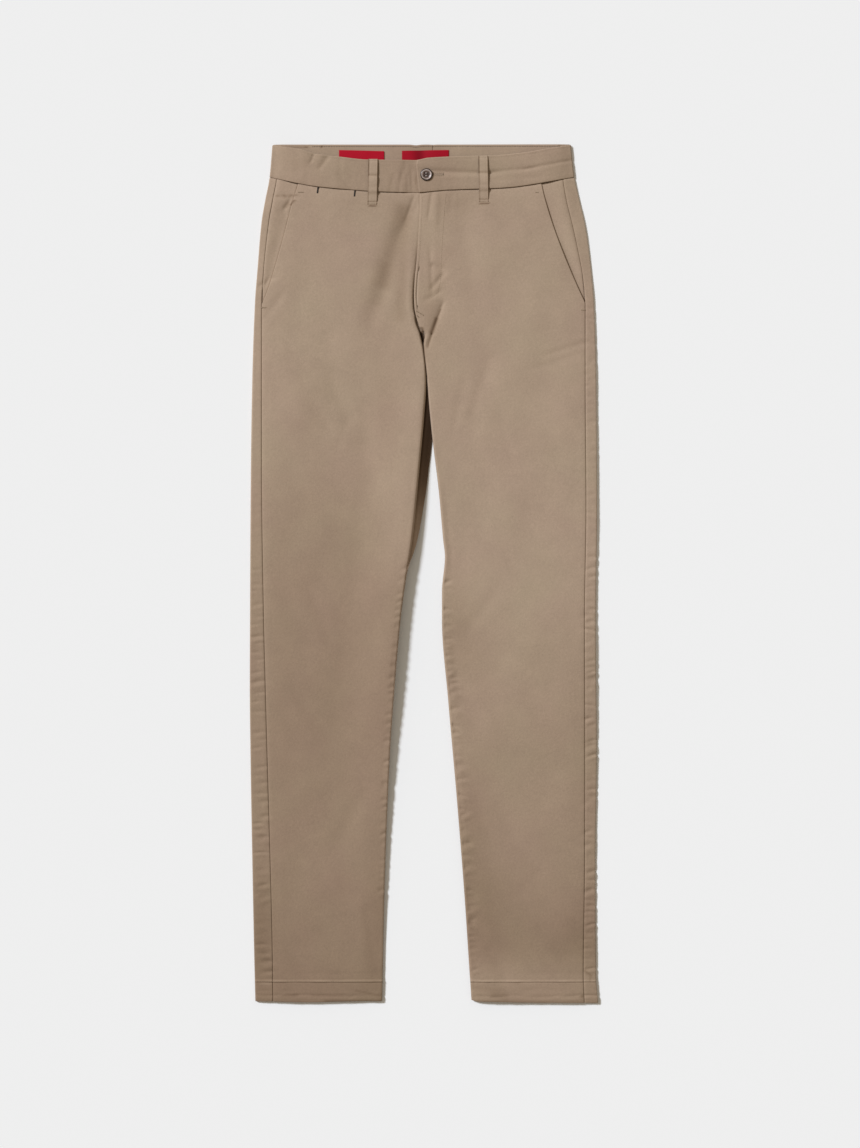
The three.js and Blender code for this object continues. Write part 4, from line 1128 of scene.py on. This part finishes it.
def stitch_row(path, seed=1, height_at=face_height, pitch=2.6, length=1.9, sink=0.12, wander=0.12):
    """Short threads along a path of x and down, dipping into the cloth at both ends."""
    path = np.asarray(path, float)
    steps = np.concatenate([[0], np.cumsum(np.hypot(*np.diff(path, axis=0).T))])
    rng = np.random.default_rng(seed)
    tubes = []
    at = 0.4
    while at + length < steps[-1]:
        span = at + length * np.array([0.0, 0.12, 0.5, 0.88, 1.0])
        side = rng.uniform(-wander, wander)
        x = np.interp(span, steps, path[:, 0]) + side
        down = np.interp(span, steps, path[:, 1]) + side
        z = height_at(x, down) + np.array([-0.22, 0.02, 0.1, 0.02, -0.22]) - sink
        tubes.append(np.stack([x, MIDDLE_DOWN - down, z], axis=1))
        at += pitch * rng.uniform(0.95, 1.05)
    return tubes


def bartack(x0, down0, x1, down1, width, pitch=0.42):
    """Close threads across a short line."""
    length = math.hypot(x1 - x0, down1 - down0)
    count = max(3, int(length / pitch))
    ax = (x1 - x0) / length
    ad = (down1 - down0) / length
    rng = np.random.default_rng(int(1000 * (abs(x0) + down0)))
    tubes = []
    for k in range(count):
        t = (k + 0.5) / count
        across = np.array([-1, -0.6, 0, 0.6, 1.0]) * width / 2 * rng.uniform(0.85, 1.1)
        skew = 0.12 * np.sign(across)
        x = mix(x0, x1, t) - ad * across + ax * skew
        down = mix(down0, down1, t) + ax * across + ad * skew
        z = face_height(x, down) + np.array([-0.25, 0.12, 0.22, 0.12, -0.25])
        tubes.append(np.stack([x, MIDDLE_DOWN - down, z], axis=1))
    return tubes


def back_band_face(x, down):
    return WAIST_RISE + BAND_CLOTH + 0 * x


def build_stitching(thread, dark):
    band = []
    for start, end in ((-152.0, -11.5), (-5.5, 150.0)):
        x = np.arange(start, end, 1.0)
        band += stitch_row(np.column_stack([x, BAND_TOP_EDGE(x) + 3.0]), 3)
    down = np.arange(22.5, 58.0, 1.0)
    band += stitch_row(np.column_stack([BAND_END(down) + 2.2, down]), 4)
    threads("stitches_band_front", band, 0.2, thread)

    x = np.arange(-140.0, 172.0, 1.0)
    path = np.column_stack([x, BAND_BACK_EDGE + back_wave(x) + 2.6])
    threads("stitches_band_back", stitch_row(path, 5, back_band_face, 2.1, 0.95, 0.0), 0.36, dark)

    down = np.arange(66.0, 196.0, 1.0)
    inset = mix(3.2, 1.6, smooth(120, 195, down))
    fly = stitch_row(J_STITCH, 6, sink=0.05) + stitch_row(np.column_stack([LEFT.inner(down) + inset, down]), 7)
    threads("stitches_fly", fly, 0.26, thread)

    hems = []
    for leg in (RIGHT, LEFT):
        ends = sorted((float(leg.fold(HEM_TOP)) - leg.side * 1.5, float(leg.inner(HEM_TOP)) + leg.side * 2.0))
        x = np.arange(*ends, 1.0)
        down = back_down(x, HEM_TOP - 0.5) - SEAM_HALF
        hems += stitch_row(np.column_stack([x, down]), 8, pitch=2.9)
    threads("stitches_hem", hems, 0.2, thread)

    threads("tacks_pocket_and_fly", [tube for tack in TACKS for tube in bartack(*tack)], 0.22, thread)
    threads("tacks_coin_pocket", [tube for tack in DARK_TACKS for tube in bartack(*tack)], 0.32, dark)

    middle = BUTTONHOLE_DOWN
    end = BUTTONHOLE_END
    edge = []
    for down in (middle - 1.7, middle + 1.7):
        edge += bartack(BUTTON_X + 6.5, down, end, down, 1.3, 0.5)
    edge += bartack(end, middle - 2.2, end, middle + 2.2, 1.4, 0.5)
    threads("buttonhole_edge", edge, 0.24, thread)
    # Near-black threads along the cut and a dark tack at its end: painted shade for the open slit and eyelet
    slit = stitch_row([(BUTTON_X + 6, middle), (end, middle)], 1, face_height, 1.7, 1.7, 0.0, 0.02)
    slit += bartack(end - 0.2, middle - 0.6, end - 0.2, middle + 0.6, 1.6)
    threads("buttonhole_slit", slit, 0.25, dark)


class Surface:
    """A material's shader nodes. Inputs are given by socket, as a value or as another output."""

    def __init__(self, name):
        self.material = bpy.data.materials.new(name)
        self.material.use_nodes = True
        self.tree = self.material.node_tree

    def fill(self, node, inputs):
        for socket, value in inputs.items():
            if isinstance(value, bpy.types.NodeSocket):
                self.tree.links.new(value, node.inputs[socket])
            else:
                node.inputs[socket].default_value = value

    def add(self, kind, inputs, output=0, **settings):
        node = self.tree.nodes.new("ShaderNode" + kind)
        for setting, value in settings.items():
            setattr(node, setting, value)
        self.fill(node, inputs)
        return node.outputs[output]

    def blend(self, factor, a, b, kind="MIX"):
        colors = {"Factor": factor, 6: a, 7: b}
        return self.add("Mix", colors, 2, data_type="RGBA", blend_type=kind)

    def shades(self, factor, color, dark, light):
        return self.blend(factor, (*[dark * c for c in color], 1), (*[light * c for c in color], 1))

    def times(self, a, b):
        return self.add("Math", {0: a, 1: b}, operation="MULTIPLY")

    def spread(self, value, low, high, start=0.25, end=0.75):
        limits = {"From Min": start, "From Max": end, "To Min": low, "To Max": high}
        return self.add("MapRange", {"Value": value, **limits})

    def kept_tone(self):
        # What the painted shade stored per point leaves of the colour
        shade = self.add("Attribute", {}, "Fac", attribute_name="shade")
        return self.add("Math", {0: 1.0, 1: shade}, operation="SUBTRACT")

    def bump(self, height, strength, distance, **under):
        return self.add("Bump", {"Strength": strength, "Distance": distance, "Height": height, **under})

    def weave(self, direction, scale, distortion, detail=2.0):
        cloth = self.add("UVMap", {}, uv_map="cloth")
        inputs = {"Scale": scale, "Distortion": distortion, "Detail": detail, "Vector": cloth}
        return self.add("TexWave", inputs, "Fac", bands_direction=direction)

    def finish(self, inputs):
        self.fill(self.tree.nodes["Principled BSDF"], inputs)
        return self.material


def twill_material():
    """Brushed cotton twill: fine diagonal ribs, a speckled nap, and painted light and shade kept per point."""
    surface = Surface("twill")
    at = surface.add("TexCoord", {}, "Object")
    noise = lambda scale, detail: surface.add("TexNoise", {"Scale": scale, "Detail": detail, "Vector": at}, "Fac")
    patches = surface.spread(noise(11.0, 2.0), 0.0, 1.0)
    patches = surface.blend(patches, (*TWILL_WARM, 1), (*TWILL_OLIVE, 1))
    grain = noise(900.0, 2.0)
    slub = noise(330.0, 2.0)
    speck = surface.spread(grain, 0.92, 1.08)
    for value, reach in ((slub, 0.045), (noise(60.0, 2.0), 0.03), (noise(22.0, 1.0), 0.025)):
        speck = surface.times(speck, surface.spread(value, 1 - reach, 1 + reach))
    keep = surface.kept_tone()
    kept = {}
    for channel, power in TONE_POWERS:
        kept[channel] = surface.times(speck, surface.add("Math", {0: keep, 1: power}, operation="POWER"))
    color = surface.blend(1.0, patches, surface.add("CombineColor", kept), "MULTIPLY")
    normal = surface.bump(surface.weave("DIAGONAL", 3.2, 0.6, 1.0), 0.3, 0.00015)
    for height in (grain, slub):
        normal = surface.bump(height, 0.5, 0.0003, Normal=normal)
    cloth = {"Roughness": 0.92, "Specular IOR Level": 0.15}
    sheen = {"Sheen Weight": 0.08, "Sheen Roughness": 0.6, "Sheen Tint": (0.9, 0.82, 0.72, 1)}
    return surface.finish({"Base Color": color, "Normal": normal, **cloth, **sheen})


def thread_material(name, color):
    surface = Surface(name)
    twist = surface.add("TexNoise", {"Scale": 1500.0}, "Fac")
    return surface.finish({"Base Color": surface.shades(twist, color, 0.8, 1.15), "Roughness": 0.7})


def satin_material():
    surface = Surface("label_satin")
    floats = surface.weave("Y", 9.0, 0.4)
    color = surface.blend(1.0, surface.shades(floats, SATIN, 0.82, 1.12), surface.kept_tone(), "MULTIPLY")
    normal = surface.bump(floats, 0.2, 0.0001)
    return surface.finish({"Base Color": color, "Normal": normal, "Roughness": 0.5, "Specular IOR Level": 0.12})


def horn_material():
    """Dark horn with a painted highlight ring on the rim and painted shade on its outer bevel: the colour follows
    the distance from the middle.
    """
    surface = Surface("button_horn")
    at = surface.add("TexCoord", {}, "Object")
    flat = surface.add("VectorMath", {0: at, 1: (1, 1, 0)}, operation="MULTIPLY")
    length = surface.add("VectorMath", {0: flat}, "Value", operation="LENGTH")
    reach = surface.add("MapRange", {"From Max": 0.008, "Value": length})
    rings = surface.add("ValToRGB", {"Fac": reach})
    ramp = rings.node.color_ramp
    for element, (position, color) in zip(ramp.elements, (HORN_RINGS_AND_PAINTED_LIGHT[0], HORN_RINGS_AND_PAINTED_LIGHT[-1])):
        element.position = position
        element.color = (*color, 1)
    for position, color in HORN_RINGS_AND_PAINTED_LIGHT[1:-1]:
        ramp.elements.new(position).color = (*color, 1)
    streaks = {"Scale": 320.0, "Detail": 3.0, "Distortion": 1.2, "Vector": at}
    vary = surface.spread(surface.add("TexNoise", streaks, "Fac"), 0.45, 1.5, 0.3, 0.7)
    color = surface.blend(1.0, rings, vary, "MULTIPLY")
    return surface.finish({"Base Color": color, "Roughness": 0.34, "Coat Weight": 0.15})


def build_camera_and_light():
    scene = bpy.context.scene
    data = bpy.data.cameras.new("camera")
    data.lens = 70
    data.sensor_width = 36
    camera = add_object("camera", data)
    frame_height = 1.435
    distance = frame_height * data.lens / data.sensor_width
    camera.location = (0.0075, 0.0, distance + 0.006)
    scene.camera = camera
    world = bpy.data.worlds.new("studio")
    world.use_nodes = True
    world.node_tree.nodes["Background"].inputs["Color"].default_value = (*AMBIENT_TINT, 1)
    world.node_tree.nodes["Background"].inputs["Strength"].default_value = AMBIENT
    scene.world = world
    sun = bpy.data.lights.new("softbox", "SUN")
    sun.energy = KEY_SHARE * math.pi / math.sin(KEY_HEIGHT)
    sun.angle = KEY_SPREAD
    sun.color = [(1 - AMBIENT * tint) / KEY_SHARE for tint in AMBIENT_TINT]
    key = add_object("softbox", sun)
    key.rotation_euler = (0, math.pi / 2 - KEY_HEIGHT, KEY_BEARING)
    scene.view_settings.view_transform = "Standard"
    scene.view_settings.look = "None"


def build_floor():
    points = np.array([[-6, -6, 0], [6, -6, 0], [6, 6, 0], [-6, 6, 0]], float)
    floor = mesh_object("floor", points, np.array([[0, 1, 2, 3]]))
    paper = {"Base Color": (0.86, 0.86, 0.86, 1), "Roughness": 0.9, "Specular IOR Level": 0.0}
    floor.data.materials.append(Surface("floor_paper").finish(paper))
    floor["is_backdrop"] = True


def main():
    twill = twill_material()
    thread = thread_material("thread", THREAD)
    dark = thread_material("thread_dark", THREAD_DARK)
    pale = thread_material("thread_pale", THREAD_PALE)
    satin = satin_material()
    horn = horn_material()
    build_camera_and_light()
    build_floor()
    build_cloth(twill, satin)
    build_button(horn, pale)
    build_stitching(thread, dark)


main()
{"cad": CAD_BOX, "visual": [list(corner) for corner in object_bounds()]}
